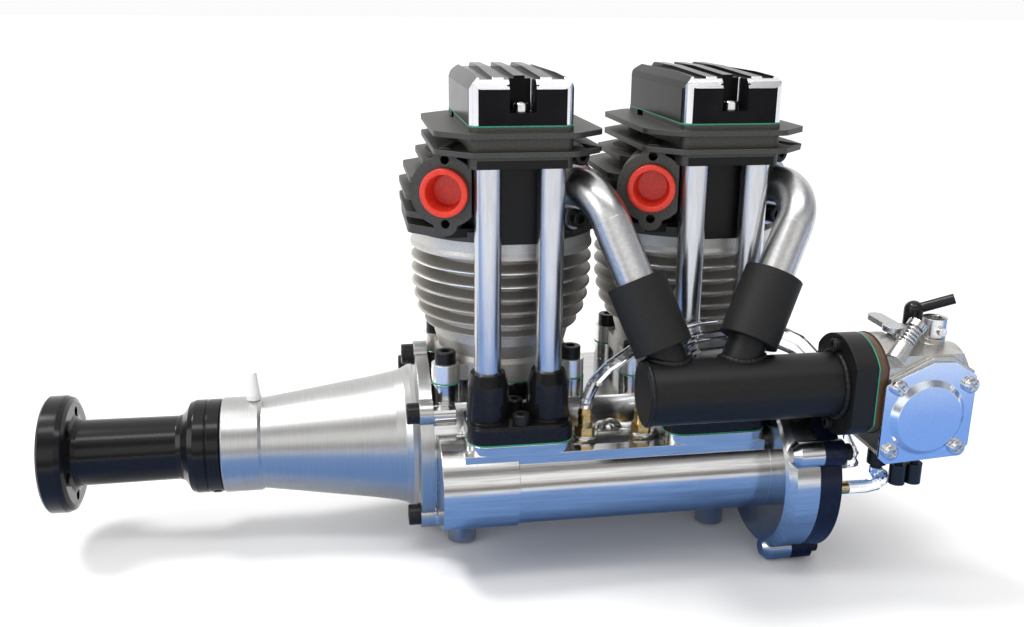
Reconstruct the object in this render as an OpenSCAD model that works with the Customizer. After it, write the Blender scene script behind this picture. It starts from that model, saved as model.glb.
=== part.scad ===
// Inline twin four-stroke model aircraft engine.
// Millimetres. X runs along the crank axis away from the propeller, Z is up, the cam side is -Y.
// The origin is the centre of the propeller face of the hub.

/* [Cylinders] */
// first cylinder axis from the propeller face
cyl_x = 186; // [180:1:192]
// distance between the two cylinder axes
cyl_pitch = 78; // [78:1:84]
// cylinder bore diameter
bore_d = 42; // [38:0.5:42]
// radial clearance of the piston in its bore
piston_fit = 0.05; // [0.02:0.01:0.1]
// radius of the largest cylinder fins
fin_r = 37.4; // [35:0.2:37.8]
// thickness of a cylinder fin at its tip
fin_tip = 1.2; // [0.8:0.1:1.6]
// distance between cylinder fins
fin_step = 5.4; // [5:0.1:5.6]
// hole circle of a cylinder foot, half spacing along X
foot_x = 25.7; // [25:0.1:27]
// hole circle of a cylinder foot, half spacing along Y
foot_y = 21; // [20:0.5:22]

/* [Crank train] */
// crank throw
throw = 16; // [13:0.5:16]
// crankshaft journal radius
shaft_r = 8.5; // [7:0.25:9]
// radial clearance of a shaft or pin in its bearing
run_fit = 0.05; // [0.02:0.01:0.1]
// radius of the crank webs
web_r = 24; // [22:0.5:24.5]
// width of a connecting rod
rod_w = 12; // [9:0.5:12]
// gap between the rod pin and the webs
web_gap = 0.3; // [0.3:0.1:0.5]

/* [Propeller hub] */
// hub flange diameter
hub_d = 48; // [44:1:54]
// hub flange thickness
hub_t = 10; // [8:0.5:12]
// bolt circle diameter of the hub
hub_pcd = 34; // [33:0.5:36]
// tapped hole radius in the hub
hub_hole_r = 2.1; // [1.6:0.1:2.5]
// pilot bore radius in the hub face
pilot_r = 5; // [3:0.5:6]
// hub barrel diameter
barrel_d = 27; // [25:0.5:28]
// collar and magnet ring diameter
collar_d = 38.8; // [37:0.2:40]

/* [Crankcase] */
// radius of the crankcase barrel
case_r = 36; // [35.5:0.25:37]
// height of the flat deck above the crank axis
deck_z = 24; // [23:0.5:25]
// height of the cylinder seats
seat_z = 31.4; // [31:0.1:32]
// tunnel radius at the front cam bearing
tunnel_r = 18.5; // [18:0.1:19.5]
// tunnel radius along the rest
tunnel_r2 = 17.6; // [16.5:0.1:17.9]
// bore of the cam tunnel
cam_bore_r = 12.5; // [12:0.1:12.5]
// height of the lifter pads
pad_z = 17.5; // [17:0.1:18]
// mounting boss spacing along X
mount_x = 110; // [100:1:110]
// mounting boss spacing along Y
mount_y = 40; // [38:1:42]
// tapped hole radius of the mounting bosses
mount_hole_r = 2.5; // [2:0.1:3]
// underside of the mounting bosses below the crank axis
mount_z = 40; // [38:0.5:44]

/* [Valve gear] */
// gear module
gear_m = 1.5; // [1.5:0.5:1.5]
// teeth on the crank gear, the cam gear has twice as many
gear_teeth = 20; // [20:1:20]
// valve lift
lift = 3.5; // [2.5:0.25:3.5]
// lash between pushrod, rocker and valve
lash = 0.4; // [0.4:0.05:0.6]
// half distance between the pushrods of one cylinder
rod_x = 11.75; // [11.5:0.05:12]
// outer radius of a pushrod tube
tube_r = 5.1; // [4.8:0.05:5.3]
// half width of a rocker cover
cover_w = 19; // [18.8:0.1:20]
// height of a rocker cover
cover_h = 16; // [15.5:0.5:18]

// valve head radius
valve_r = 7.4; // [6:0.1:7.5]

/* [Intake] */
// outer radius of the intake pipes
pipe_r = 7.2; // [6.8:0.1:7.6]
// wall of the rubber hoses
hose_wall = 3.8; // [3:0.1:4]
// outer radius of the manifold tube
man_r = 12; // [11.5:0.1:12.5]
// throttle bore radius
throttle_r = 9; // [8:0.25:9.5]
// air inlet radius of the carburettor
inlet_r = 11; // [10.5:0.25:12]

/* [Hidden] */
$fn = 64;
centres = [cyl_x, cyl_x + cyl_pitch];
cam_y = -45;
cam_z = -2;
gear_r1 = gear_m * gear_teeth / 2;
gear_r2 = gear_m * gear_teeth;
gear_x = 290;
gear_w = 6.5;
line_a = atan2(cam_z, cam_y);
bore_r = bore_d / 2 + piston_fit;
piston_r = bore_d / 2;
gasket_t = 0.5;
case_x0 = 154.2;
case_x1 = 297.7;
back_x = 286;
cover_x1 = 306.4;
web_in = rod_w / 2 + 0.5;
web_t = 8;
rod_l = 60;
pin_z = throw + rod_l;
crown_h = 11.5;
head_z = 91.5;
head_top = 136.5;
cover_z = head_top + gasket_t;
chamber_z = 94.1;
rocker_y = -19.5;
rocker_z = 140;
valve_y = 2 * rocker_y - cam_y;
arm_z = rocker_z - 1.4;
spring_z0 = 118;
spring_z1 = 130;
foot_z = seat_z + gasket_t;
foot_top = 39.4;
barb_z = 16;
man_y = -75;
man_z = 43;
man_x0 = 227.7;
man_x1 = 301;
flange_t = 8.5;
flange_r = 19.2;
flange_w = 15.7;
flange_hole = 15.2;
ins_x = man_x1 + flange_t + gasket_t;
ins_t = 3;
carb_x = ins_x + ins_t + gasket_t;
carb_l = 33;
carb_y0 = man_y - 17;
carb_y1 = man_y + 17;
carb_z0 = 19;
carb_z1 = 58;
exhaust_a = -20;
intake_a = 28;
port_x = 27;
port_y = -41;
port_z = 112.2;
intake_x = 21.5;
intake_y = -31.5;
port_ear = 11.85;
port_clear = 14;
plug_r = 7.4;
hub_bore_x = 30;
nose_x0 = 69.2;
bearing_x = 71;
nipple_x = 82.2;

function dir_xy(a) = [sin(a), -cos(a), 0];
function unit(v) = v / norm(v);
// corner where a port axis meets its hose line
reach = [16.5, 21];
corner = [for (i = [0, 1]) [centres[i] + intake_x, intake_y, port_z] + reach[i] * dir_xy(intake_a)];
stub_at = [[241.5, man_y, man_z], [259.5, man_y, man_z]];
hose_dir = [for (i = [0, 1]) unit(stub_at[i] - corner[i])];
hose_top = 35.5;
hose_bottom = 62.2;
hose_from = [for (i = [0, 1]) corner[i] + hose_dir[i] * hose_top];
hose_to = [for (i = [0, 1]) corner[i] + hose_dir[i] * hose_bottom];
bend_r = [19, 16];
bend_step = 0.1;
bend_a = [for (i = [0, 1]) acos(dir_xy(intake_a) * hose_dir[i])];
setback = [for (i = [0, 1]) bend_r[i] * tan(bend_a[i] / 2)];

// Shared helpers

// revolve a profile of [radius, x] points about a line along X
module turned(pts, y = 0, z = 0) {
    translate([0, y, z]) rotate([0, 90, 0]) rotate_extrude() polygon(pts);
}

// cylinder along +X from x0 to x1
module bar_x(x0, x1, r, y = 0, z = 0) {
    translate([x0, y, z]) rotate([0, 90, 0]) cylinder(h = x1 - x0, r = r);
}

// extrude a (y, z) outline from x0 to x1
module slab_x(x0, x1) {
    translate([x0, 0, 0]) rotate([90, 0, 90]) linear_extrude(x1 - x0) children();
}

// cylinder between two points
module bar(p, q, r) {
    d = q - p;
    translate(p) rotate([0, acos(d[2] / norm(d)), atan2(d[1], d[0])]) cylinder(h = norm(d), r = r);
}

module rounded(w, h, r) {
    square([w - 2 * r, h], center = true);
    square([w, h - 2 * r], center = true);
    for (sx = [-1, 1], sy = [-1, 1]) {
        translate([sx * (w / 2 - r), sy * (h / 2 - r)]) circle(r);
    }
}

// points of a polygon with rounded corners, five points a corner
function rounded_pts(p, r) = [for (i = [0 : len(p) - 1])
    let (n = len(p), a = unit(p[(i + n - 1) % n] - p[i]), b = unit(p[(i + 1) % n] - p[i]),
        h = acos(a * b) / 2, c = p[i] + unit(a + b) * r / sin(h))
    for (k = [0 : 4]) let (u = p[i] + a * r / tan(h) - c, w = p[i] + b * r / tan(h) - c, t = k / 4)
        c + unit(u * (1 - t) + w * t) * r];

// socket cap screw: head resting on z = 0, shank pointing down
module cap_screw(d, length, head_r, head_h) {
    difference() {
        union() {
            cylinder(h = head_h - 0.4, r = head_r);
            translate([0, 0, head_h - 0.4]) cylinder(h = 0.4, r1 = head_r, r2 = head_r - 0.4);
            translate([0, 0, -length]) cylinder(h = length, r = d / 2);
        }
        translate([0, 0, head_h * 0.45]) cylinder(h = head_h, r = head_r * 0.52, $fn = 6);
    }
}

// swept tube through hand-set points
function tangent(p, i) = unit(p[min(i + 1, len(p) - 1)] - p[max(i - 1, 0)]);
function ring(p, i, r, n, ref) =
    let (t = tangent(p, i), u = unit(cross(t, ref)), v = cross(u, t))
    [for (k = [0 : n - 1]) p[i] + r * (cos(360 * k / n) * u + sin(360 * k / n) * v)];
module sweep(p, r, n = 10, ref = [0.2, 1, 0.3]) {
    pts = [for (i = [0 : len(p) - 1]) each ring(p, i, r, n, ref)];
    m = len(p);
    sides = [for (i = [0 : m - 2], k = [0 : n - 1]) each [
        [i * n + k, i * n + (k + 1) % n, (i + 1) * n + (k + 1) % n],
        [i * n + k, (i + 1) * n + (k + 1) % n, (i + 1) * n + k]]];
    caps = [[for (k = [0 : n - 1]) n - 1 - k], [for (k = [0 : n - 1]) (m - 1) * n + k]];
    polyhedron(pts, concat(sides, caps));
}

// Gear outline with involute flanks
function inv(a) = tan(a) * 180 / PI - a;
function flank(r, rb) = r > rb ? inv(acos(rb / r)) : 0;
module gear_2d(teeth, turn) {
    rp = gear_m * teeth / 2;
    rb = rp * cos(20);
    root = rp - 1.25 * gear_m;
    tip = rp + 0.92 * gear_m;
    half = 90 / teeth + inv(20) - 0.14 / rp * 180 / PI;
    radii = [root, max(rb, root + 0.3), rp - 0.2 * gear_m, rp + 0.35 * gear_m, tip];
    polygon([for (i = [0 : teeth - 1]) let (c = turn + 360 * i / teeth) each concat(
        [for (r = radii) [r * cos(c - half + flank(r, rb)), r * sin(c - half + flank(r, rb))]],
        [for (k = [4 : -1 : 0]) let (r = radii[k])
            [r * cos(c + half - flank(r, rb)), r * sin(c + half - flank(r, rb))]])]);
}

// Crankcase and housings

lobes_cam = [151, 253];
lobes_crank = [18, -34, -80];
nose_lobes = [144, 222, 318, 36];
nose_screw_r = 36.5;
module back_outline() {
    translate([cam_y, cam_z]) circle(34.5);
    circle(case_r);
    for (a = lobes_cam) {
        translate([cam_y + 35 * cos(a), cam_z + 35 * sin(a)]) circle(5.2);
    }
    for (a = lobes_crank) {
        translate([36 * cos(a), 36 * sin(a)]) circle(5.2);
    }
}

module case_solid() {
    difference() {
        union() {
            bar_x(case_x0, case_x1, case_r);
            slab_x(back_x + 2.5, case_x1) back_outline();
            translate([0, cam_y, cam_z]) turned([[0, back_x - 1], [31, back_x - 1], [32.2, back_x],
                [34.5, back_x + 2.5], [34.5, case_x1], [0, case_x1]]);
            for (a = lobes_cam) {
                turned([[0, back_x], [3, back_x], [5.2, back_x + 2.5], [5.2, case_x1], [0, case_x1]],
                    cam_y + 35 * cos(a), cam_z + 35 * sin(a));
            }
            for (a = nose_lobes) {
                bar_x(case_x0, case_x0 + 9, 5.4, nose_screw_r * cos(a), nose_screw_r * sin(a));
            }
        }
        translate([case_x0 - 1, -60, deck_z]) cube([case_x1 - case_x0 + 2, 120, 40]);
    }
    bar_x(case_x0 + 1, cyl_x - 1.5, tunnel_r, cam_y, cam_z);
    bar_x(cyl_x - 1.5, back_x, tunnel_r2, cam_y, cam_z);
    translate([164, -58, 0]) cube([back_x - 167, 34, 14]);
    for (x = centres) {
        translate([x, -44.5, 0]) linear_extrude(pad_z) rounded(41, 27, 7);
        translate([x, 0, deck_z - 4]) cylinder(h = seat_z - deck_z + 4, r = 27.5);
        for (sx = [-1, 1], sy = [-1, 1]) {
            translate([x + sx * foot_x, sy * foot_y, deck_z - 6]) cylinder(h = seat_z - deck_z + 6, r = 5.8);
        }
    }
    for (x = [213, 236]) {
        translate([x, cam_y, 10]) cylinder(h = barb_z - 10, r = 5.2);
    }
    translate([225, -38, 12.5]) sphere(5.5);
    for (sx = [-1, 1], sy = [-1, 1]) {
        translate([mount_mid + sx * mount_x / 2, sy * mount_y / 2, -mount_z]) cylinder(h = 18, r = 6);
    }
}
mount_mid = 221.6;

module crankcase() {
    color("Silver") difference() {
        case_solid();
        bar_x(case_x0 - 1, case_x1 + 1, shaft_r + 0.3);
        bar_x(case_x0 - 1, case_x0 + 10, 17.5);
        bar_x(cyl_x + cyl_pitch / 2 - 5, cyl_x + cyl_pitch / 2 + 5, 17.5);
        bar_x(back_x - 5, gear_x - 1, 17.5);
        for (x = centres) {
            bar_x(x - web_in - web_t - 1, x + web_in + web_t + 1, web_r + 1.5);
            bar_x(x - web_in - 0.3, x + web_in + 0.3, throw + 15.5);
            translate([x, 0, 0]) cylinder(h = seat_z + 1, r = 23.5);
            for (sx = [-1, 1], sy = [-1, 1]) {
                translate([x + sx * foot_x, sy * foot_y, seat_z - 13]) cylinder(h = 14, r = 2.5);
            }
            for (s = [-1, 1]) {
                translate([x + s * rod_x, cam_y, 0]) cylinder(h = pad_z + 1, r = 5.2);
                translate([x, cam_y + s * 8, pad_z - 7]) cylinder(h = 8, r = 2);
            }
        }
        bar_x(case_x0 + 6.8, gear_x, cam_bore_r, cam_y, cam_z);
        bar_x(gear_x - 1.5, case_x1 + 1, gear_r2 + 2.2, cam_y, cam_z);
        bar_x(gear_x - 1.5, case_x1 + 1, gear_r1 + 3.4);
        for (x = [213, 236]) {
            translate([x, cam_y, 8]) cylinder(h = 10, r = 2.4);
        }
        for (sx = [-1, 1], sy = [-1, 1]) {
            translate([mount_mid + sx * mount_x / 2, sy * mount_y / 2, -mount_z - 1])
                cylinder(h = 13, r = mount_hole_r);
        }
        for (a = lobes_cam) {
            bar_x(case_x1 - 10, case_x1 + 1, 1.65, cam_y + 35 * cos(a), cam_z + 35 * sin(a));
        }
        for (a = lobes_crank) {
            bar_x(case_x1 - 10, case_x1 + 1, 1.65, 36 * cos(a), 36 * sin(a));
        }
        for (a = nose_lobes) {
            bar_x(case_x0 - 1, case_x0 + 8, 2.5, nose_screw_r * cos(a), nose_screw_r * sin(a));
        }
    }
}

module rear_cover() {
    color("MidnightBlue") difference() {
        slab_x(case_x1, cover_x1) back_outline_cut();
        for (a = lobes_cam) {
            bar_x(case_x1 - 1, cover_x1 + 1, 2, cam_y + 35 * cos(a), cam_z + 35 * sin(a));
        }
        for (a = lobes_crank) {
            bar_x(case_x1 - 1, cover_x1 + 1, 2, 36 * cos(a), 36 * sin(a));
        }
        for (p = rear_ports) {
            bar_x(cover_x1 - 5, cover_x1 + 1, 2.4, p[0], p[1]);
        }
    }
}
rear_ports = [[-70, -3], [-40, -9], [-66, 6]];

module back_outline_cut() {
    difference() {
        back_outline();
        translate([-60, deck_z]) square([120, 40]);
    }
}

module nose_housing() {
    color("Gainsboro") difference() {
        union() {
            turned([[0, nose_x0], [19.4, nose_x0], [19.8, nose_x0 + 0.5], [19.8, 84], [19.5, 84.6],
                [19.1, 85.4], [21.2, 100], [23.5, 115], [25.8, 130], [27.6, 140], [28.7, 143.8],
                [30.2, 146.4], [32.5, 148], [35, 148.7], [38, 148.7], [38.4, 149.1],
                [38.4, case_x0], [0, case_x0]]);
            for (a = concat(nose_lobes, [90])) {
                bar_x(148.7, case_x0, 5.4, nose_screw_r * cos(a), nose_screw_r * sin(a));
            }
        }
        bar_x(nose_x0 - 1, case_x0 + 1, shaft_r + 0.3);
        bar_x(bearing_x, bearing_x + 9.3, 17.5);
        bar_x(nose_x0 - 1, bearing_x + 1, 14);
        turned([[0, 84], [9, 84], [12, 95], [20, 135], [20, 148], [0, 148]]);
        bar_x(147.9, case_x0 + 1, 17.5);
        for (a = concat(nose_lobes, [90])) {
            bar_x(147, case_x0 + 1, 2.5, nose_screw_r * cos(a), nose_screw_r * sin(a));
            bar_x(142, 148.7, 4.6, nose_screw_r * cos(a), nose_screw_r * sin(a));
        }
        translate([nipple_x, 0, 10]) cylinder(h = 14, r = 1.6);
    }
}

// Cylinders and heads

function fin_radius(i) = fin_r - [0, 0.1, 0.4, 1.2, 2.6, 5.4][i];
module cylinder_at(x) {
    core = 28;
    fins = [for (i = [5 : -1 : 0]) let (z = 79.3 - fin_step * i, r = fin_radius(i), t = fin_tip / 2) each [
        [core, z - t - 0.8], [r - 0.7, z - t], [r, z - t + 0.4], [r, z + t - 0.4], [r - 0.7, z + t],
        [core, z + t + 0.8]]];
    translate([x, 0, 0]) difference() {
        union() {
            rotate_extrude() polygon(concat([[0, seat_z - 4.4], [23.5, seat_z - 4.4], [23.5, foot_z],
                [27.5, foot_z], [27.5, foot_top], [26.5, foot_top + 2], [core, 47]], fins,
                [[core, 82.5], [fin_r - 1.6, 84], [fin_r, 84.5], [fin_r, 85.6], [fin_r - 0.6, 87],
                [fin_r - 0.6, head_z], [0, head_z]]));
            for (sx = [-1, 1], sy = [-1, 1]) {
                translate([sx * foot_x, sy * foot_y, foot_z]) cylinder(h = foot_top - foot_z, r = 5.6);
            }
            translate([0, 0, foot_z]) linear_extrude(6.5)
                polygon(rounded_pts([[-27, -22], [27, -22], [27, 22], [-27, 22]], 5));
        }
        translate([0, 0, 20]) cylinder(h = 80, r = bore_r);
        for (sx = [-1, 1], sy = [-1, 1]) {
            translate([sx * foot_x, sy * foot_y, foot_z - 1]) cylinder(h = 12, r = 2.5);
        }
        translate([-1.4, -fin_r, 83]) rotate([-90, 0, 0]) cylinder(h = 5, r = 1);
    }
}
module front_cylinder() {
    color("DarkGray") cylinder_at(centres[0]);
}
module rear_cylinder() {
    color("DarkGray") cylinder_at(centres[1]);
}

function fin_plan(l, r, f, b, c) = rounded_pts([[-l, -f + c], [-l + c, -f], [r - c, -f], [r, -f + c],
    [r, b - c], [r - c, b], [-l + c, b], [-l, b - c]], 5);

// local frame of a port: face at y = 0, outward is -Y
module at_port(s, a) {
    translate([s > 0 ? intake_x : -port_x, s > 0 ? intake_y : port_y, port_z]) rotate([0, 0, a]) children();
}

module port_pad(r) {
    rotate([-90, 0, 0]) cylinder(h = 24, r = r);
    for (s = [-1, 1]) {
        translate([0, 0, s * port_ear]) rotate([-90, 0, 0]) cylinder(h = 18, r = 4.6);
    }
}

module head_at(x) {
    plug_dir = 62;
    translate([x, 0, 0]) difference() {
        union() {
            translate([0, 0, head_z]) cylinder(h = 4, r = 37.6);
            translate([0, 0, head_z]) cylinder(h = 31, r = 31);
            translate([-14, -39.5, head_z]) cube([28, 30, 31]);
            translate([0, 0, 93.4]) linear_extrude(3.4) polygon(fin_plan(39.6, 36, 33, 36, 12));
            translate([0, 0, 99.6]) linear_extrude(2.2) polygon(fin_plan(40.3, 36.5, 33, 36, 12));
            translate([0, 0, 106.2]) linear_extrude(2.2) polygon(fin_plan(40.3, 36.5, 33, 36, 12));
            translate([0, 0, 112.8]) linear_extrude(2.2) polygon(fin_plan(38.6, 35.5, 33, 34, 12));
            translate([0, 0, 119.2]) linear_extrude(2.2) polygon(fin_plan(33.5, 32, 30, 31, 11));
            for (z = [126, 132.6]) {
                translate([0, 0, z]) linear_extrude(2) polygon(fin_plan(31, 31.5, 53.5, 31, 12));
            }
            translate([0, -12.8, 121.6]) linear_extrude(head_top - 121.6) rounded(2 * cover_w, 75.6, 3.5);
            at_port(-1, exhaust_a) port_pad(13.2);
            at_port(1, intake_a) port_pad(11.5);
            translate([0, 8, 98]) rotate([-plug_dir, 0, 0]) translate([0, 0, 9]) cylinder(h = 22, r = 10);
        }
        // combustion chamber, guides, spring pockets and rocker box
        translate([0, 0, head_z - 1]) cylinder(h = chamber_z - head_z + 1, r = bore_r);
        for (s = [-1, 1]) {
            translate([s * rod_x, valve_y, chamber_z - 1]) cylinder(h = 40, r = 2.5 + run_fit);
            translate([s * rod_x, valve_y, spring_z0]) cylinder(h = 20, r = 8.2);
            translate([s * rod_x, cam_y, head_z - 1]) cylinder(h = 60, r = 4.1);
            translate([s * rod_x, cam_y, head_z - 1]) cylinder(h = 123.4 - head_z + 1, r = tube_r);
            translate([s * rod_x, cam_y, head_z - 1]) cylinder(h = 121.6 - head_z + 1, r = tube_r + 0.8);
        }
        difference() {
            translate([-16, -36, 122]) cube([32, 53, 20]);
            translate([-4, rocker_y - 5.5, 120]) cube([8, 11, 18]);
        }
        // ports with their tapped holes
        at_port(-1, exhaust_a) rotate([-90, 0, 0]) translate([0, 0, -1]) cylinder(h = 15, r = plug_r + 0.1);
        at_port(1, intake_a) rotate([-90, 0, 0]) translate([0, 0, -1]) cylinder(h = 15, r = pipe_r - 1.4);
        for (z = [-port_ear, port_ear]) {
            at_port(-1, exhaust_a) translate([0, -1, z]) rotate([-90, 0, 0]) cylinder(h = 10, r = 1.65);
            at_port(1, intake_a) translate([0, -1, z]) rotate([-90, 0, 0]) cylinder(h = 8, r = 2);
            at_port(1, intake_a) translate([0, 0, z]) rotate([90, 0, 0]) cylinder(h = port_clear, r = 5.2);
        }
        // room for the intake flange between the fins
        at_port(1, intake_a) rotate([90, 0, 0]) cylinder(h = port_clear, r = 9.8);
        at_port(1, intake_a) translate([-4.2, -port_clear, -port_ear]) cube([8.4, port_clear, 2 * port_ear]);
        // spark plug well
        translate([0, 8, 98]) rotate([-plug_dir, 0, 0]) cylinder(h = 40, r = 5);
        translate([0, 8, 98]) rotate([-plug_dir, 0, 0]) translate([0, 0, 17]) cylinder(h = 40, r = 8.6);
        for (y = cover_screw_y) {
            translate([0, y, head_top - 9]) cylinder(h = 10, r = 1.5);
        }
    }
    translate([x, 0, 0]) difference() {
        translate([-4, rocker_y - 5, 121]) cube([8, 10, rocker_z + 4.5 - 121]);
        translate([-5, rocker_y, rocker_z]) rotate([0, 90, 0]) cylinder(h = 10, r = 3);
    }
}
cover_screw_y = [-45.5, 21];
module front_head() {
    color("DimGray") head_at(centres[0]);
}
module rear_head() {
    color("DimGray") head_at(centres[1]);
}

module rocker_cover_at(x) {
    y0 = -50.6;
    y1 = 25;
    mid = (y0 + y1) / 2;
    top = cover_z + cover_h;
    translate([x, 0, 0]) difference() {
        union() {
            translate([0, mid, cover_z]) linear_extrude(cover_h - 3) rounded(2 * cover_w, y1 - y0, 3.5);
            hull() {
                translate([0, mid, top - 3.01]) linear_extrude(0.01) rounded(2 * cover_w, y1 - y0, 3.5, $fn = 24);
                translate([0, mid + 1, top - 0.01]) linear_extrude(0.01)
                    rounded(2 * cover_w - 6, y1 - y0 - 9, 3, $fn = 24);
            }
        }
        translate([0, mid + 0.5, cover_z - 1]) linear_extrude(cover_h - 3.5) rounded(2 * cover_w - 4, y1 - y0 - 5, 2.5);
        // grooves of the ribbed top
        for (i = [-1.5 : 1 : 1.5]) {
            translate([i * 8.2 - 2.1, y0 - 1, top - 2]) cube([4.2, y1 - y0 + 2, 3]);
        }
    }
    // screw pockets at both ends
    difference() {
        for (y = cover_screw_y) {
            translate([x - 6, y - 5.1 + (y > 0 ? 1.1 : 0), cover_z]) cube([12, 8.9, 4.4]);
        }
        for (y = cover_screw_y) {
            translate([x, y, cover_z - 1]) cylinder(h = 10, r = 1.6);
        }
    }
}
module cover_pockets(x) {
    for (y = cover_screw_y) {
        translate([x - 4.8, y < 0 ? -60 : y - 4.2, cover_z + 4.4]) cube([9.6, y < 0 ? 60 + y + 4.2 : 20, 30]);
    }
}
module front_rocker_cover() {
    color("Black") pocketed_cover(centres[0]);
}
module rear_rocker_cover() {
    color("Black") pocketed_cover(centres[1]);
}
module pocketed_cover(x) {
    difference() {
        union() {
            rocker_cover_at(x);
            for (y = cover_screw_y) {
                translate([x - 6.4, y < 0 ? -50 : y - 5.8, cover_z]) cube([12.8, y < 0 ? 10.3 : 9, cover_h - 2.5]);
            }
        }
        cover_pockets(x);
        for (y = cover_screw_y) {
            translate([x, y, cover_z - 1]) cylinder(h = 10, r = 1.6);
        }
    }
}

// Pushrod tubes and lifter blocks

module lifter_block_at(x) {
    base = pad_z + gasket_t;
    translate([x, 0, 0]) difference() {
        union() {
            translate([0, -44.8, base]) linear_extrude(6) rounded(41, 25.5, 7);
            translate([0, -44.8, base + 6]) linear_extrude(0.8) rounded(39.6, 24.1, 6.5);
            for (s = [-1, 1]) {
                translate([s * rod_x, cam_y, base + 5]) cylinder(h = 16, r1 = 8.6, r2 = 7.8);
                translate([s * rod_x, cam_y, base + 21]) cylinder(h = 4.5, r1 = 7.8, r2 = 6.6);
            }
        }
        for (s = [-1, 1]) {
            translate([s * rod_x, cam_y, base - 1]) cylinder(h = 40, r = 4.5 + run_fit);
            translate([s * rod_x, cam_y, 34]) cylinder(h = 20, r = tube_r);
            translate([0, cam_y + s * 8, base - 1]) cylinder(h = 10, r = 2);
        }
    }
}
module front_lifter_block() {
    color("Black") lifter_block_at(centres[0]);
}
module rear_lifter_block() {
    color("Black") lifter_block_at(centres[1]);
}

module pushrod_tubes() {
    color("LightGray") for (x = centres, s = [-1, 1]) {
        translate([x + s * rod_x, cam_y, 34]) difference() {
            cylinder(h = 89.4, r = tube_r);
            translate([0, 0, -1]) cylinder(h = 92, r = tube_r - 0.9);
        }
    }
}

// Intake side

module intake_pipe(i) {
    x = centres[i];
    color("Silver") {
        difference() {
            translate([x, 0, 0]) at_port(1, intake_a) {
                translate([0, -gasket_t, 0]) rotate([90, 0, 0]) cylinder(h = 3, r = 9.2);
                for (s = [-1, 1]) {
                    translate([0, -gasket_t, s * port_ear]) rotate([90, 0, 0]) cylinder(h = 3, r = 4.6);
                    translate([-3.8, -gasket_t - 3, s > 0 ? 0 : -port_ear]) cube([7.6, 3, port_ear]);
                }
            }
            translate([x, 0, 0]) at_port(1, intake_a) {
                translate([0, 1, 0]) rotate([90, 0, 0]) cylinder(h = 6, r = pipe_r - 0.7);
                for (s = [-1, 1]) {
                    translate([0, 1, s * port_ear]) rotate([90, 0, 0]) cylinder(h = 6, r = 2);
                }
            }
        }
        pipe_run(i, pipe_r, pipe_r - 1.4);
    }
}

// straight, bend and straight from the flange to the hose line
module bend_solid(i, l0, l1, r) {
    translate([bend_r[i], -l0, 0]) rotate([-90, 0, 0]) cylinder(h = l0 + 0.05, r = r);
    rotate_extrude(angle = bend_a[i]) translate([bend_r[i], 0]) circle(r - bend_step);
    rotate([0, 0, bend_a[i]]) translate([bend_r[i], -0.05, 0]) rotate([-90, 0, 0]) cylinder(h = l1 + 0.05, r = r);
}
module pipe_run(i, ro, ri) {
    d0 = dir_xy(intake_a);
    n = unit(cross(d0, hose_dir[i]));
    m = cross(n, d0);
    l0 = reach[i] - setback[i] - gasket_t - 1;
    l1 = hose_top + 9 - setback[i];
    translate(corner[i] - d0 * setback[i] + m * bend_r[i])
        rotate([n[2] < 0 ? 180 : 0, asin(m[2]), atan2(-m[1], -m[0])]) difference() {
            bend_solid(i, l0, l1, ro);
            bend_solid(i, l0 + 1, l1 + 1, ri);
        }
}
module front_intake_pipe() {
    intake_pipe(0);
}
module rear_intake_pipe() {
    intake_pipe(1);
}

module intake_hoses() {
    color("DarkSlateGray") for (i = [0, 1]) {
        difference() {
            bar(hose_from[i], hose_to[i], pipe_r + hose_wall);
            bar(hose_from[i] - hose_dir[i], hose_to[i] + hose_dir[i], pipe_r);
        }
    }
}

module intake_manifold() {
    color("Black") difference() {
        union() {
            bar_x(man_x0, man_x1 + 1, man_r, man_y, man_z);
            turned([[0, man_x0 - 1], [man_r - 1.2, man_x0 - 1], [man_r - 0.4, man_x0], [0, man_x0]], man_y, man_z);
            for (i = [0, 1]) {
                bar(stub_at[i], corner[i] + hose_dir[i] * (hose_bottom - 9), pipe_r);
            }
            slab_x(man_x1, man_x1 + flange_t) translate([man_y, man_z]) flange_outline(flange_r, flange_w);
            bar_x(man_x1 - 1.2, man_x1, man_r + 0.4, man_y, man_z);
        }
        bar_x(man_x0 + 3, man_x1 + flange_t + 1, man_r - 1.8, man_y, man_z);
        for (i = [0, 1]) {
            bar(stub_at[i], corner[i] + hose_dir[i] * (hose_bottom - 10), pipe_r - 1.6);
        }
        for (s = [-1, 1]) {
            bar_x(man_x1 - 1, man_x1 + flange_t + 1, 2, man_y, man_z + s * flange_hole);
        }
    }
}

module flange_outline(r, w) {
    intersection() {
        circle(r);
        square([2 * w, 3 * r], center = true);
    }
}

module carb_insulator() {
    color("SaddleBrown") difference() {
        slab_x(ins_x, ins_x + ins_t) translate([man_y, man_z]) flange_outline(flange_r - 0.3, flange_w - 0.2);
        bar_x(ins_x - 1, ins_x + ins_t + 1, throttle_r + 0.5, man_y, man_z);
        for (s = [-1, 1]) {
            bar_x(ins_x - 1, ins_x + ins_t + 1, 2, man_y, man_z + s * flange_hole);
        }
    }
}

throttle_x = carb_x + 9;
choke_x = carb_x + 25;
lever_z = man_z + 20;
cover_mid = [carb_x + 15.5, 36];
cover_pts = [[-17.4, -16], [-14.5, -18.5], [14, -16.8], [17.6, -12.5], [17.6, 14.5], [8.6, 20], [0.5, 20.2],
    [-17.4, 12.3]];
screw_pts = [[-12.9, 11.6], [15.1, 11.2], [12.8, -13.2], [-13.4, -13.4]];

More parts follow.
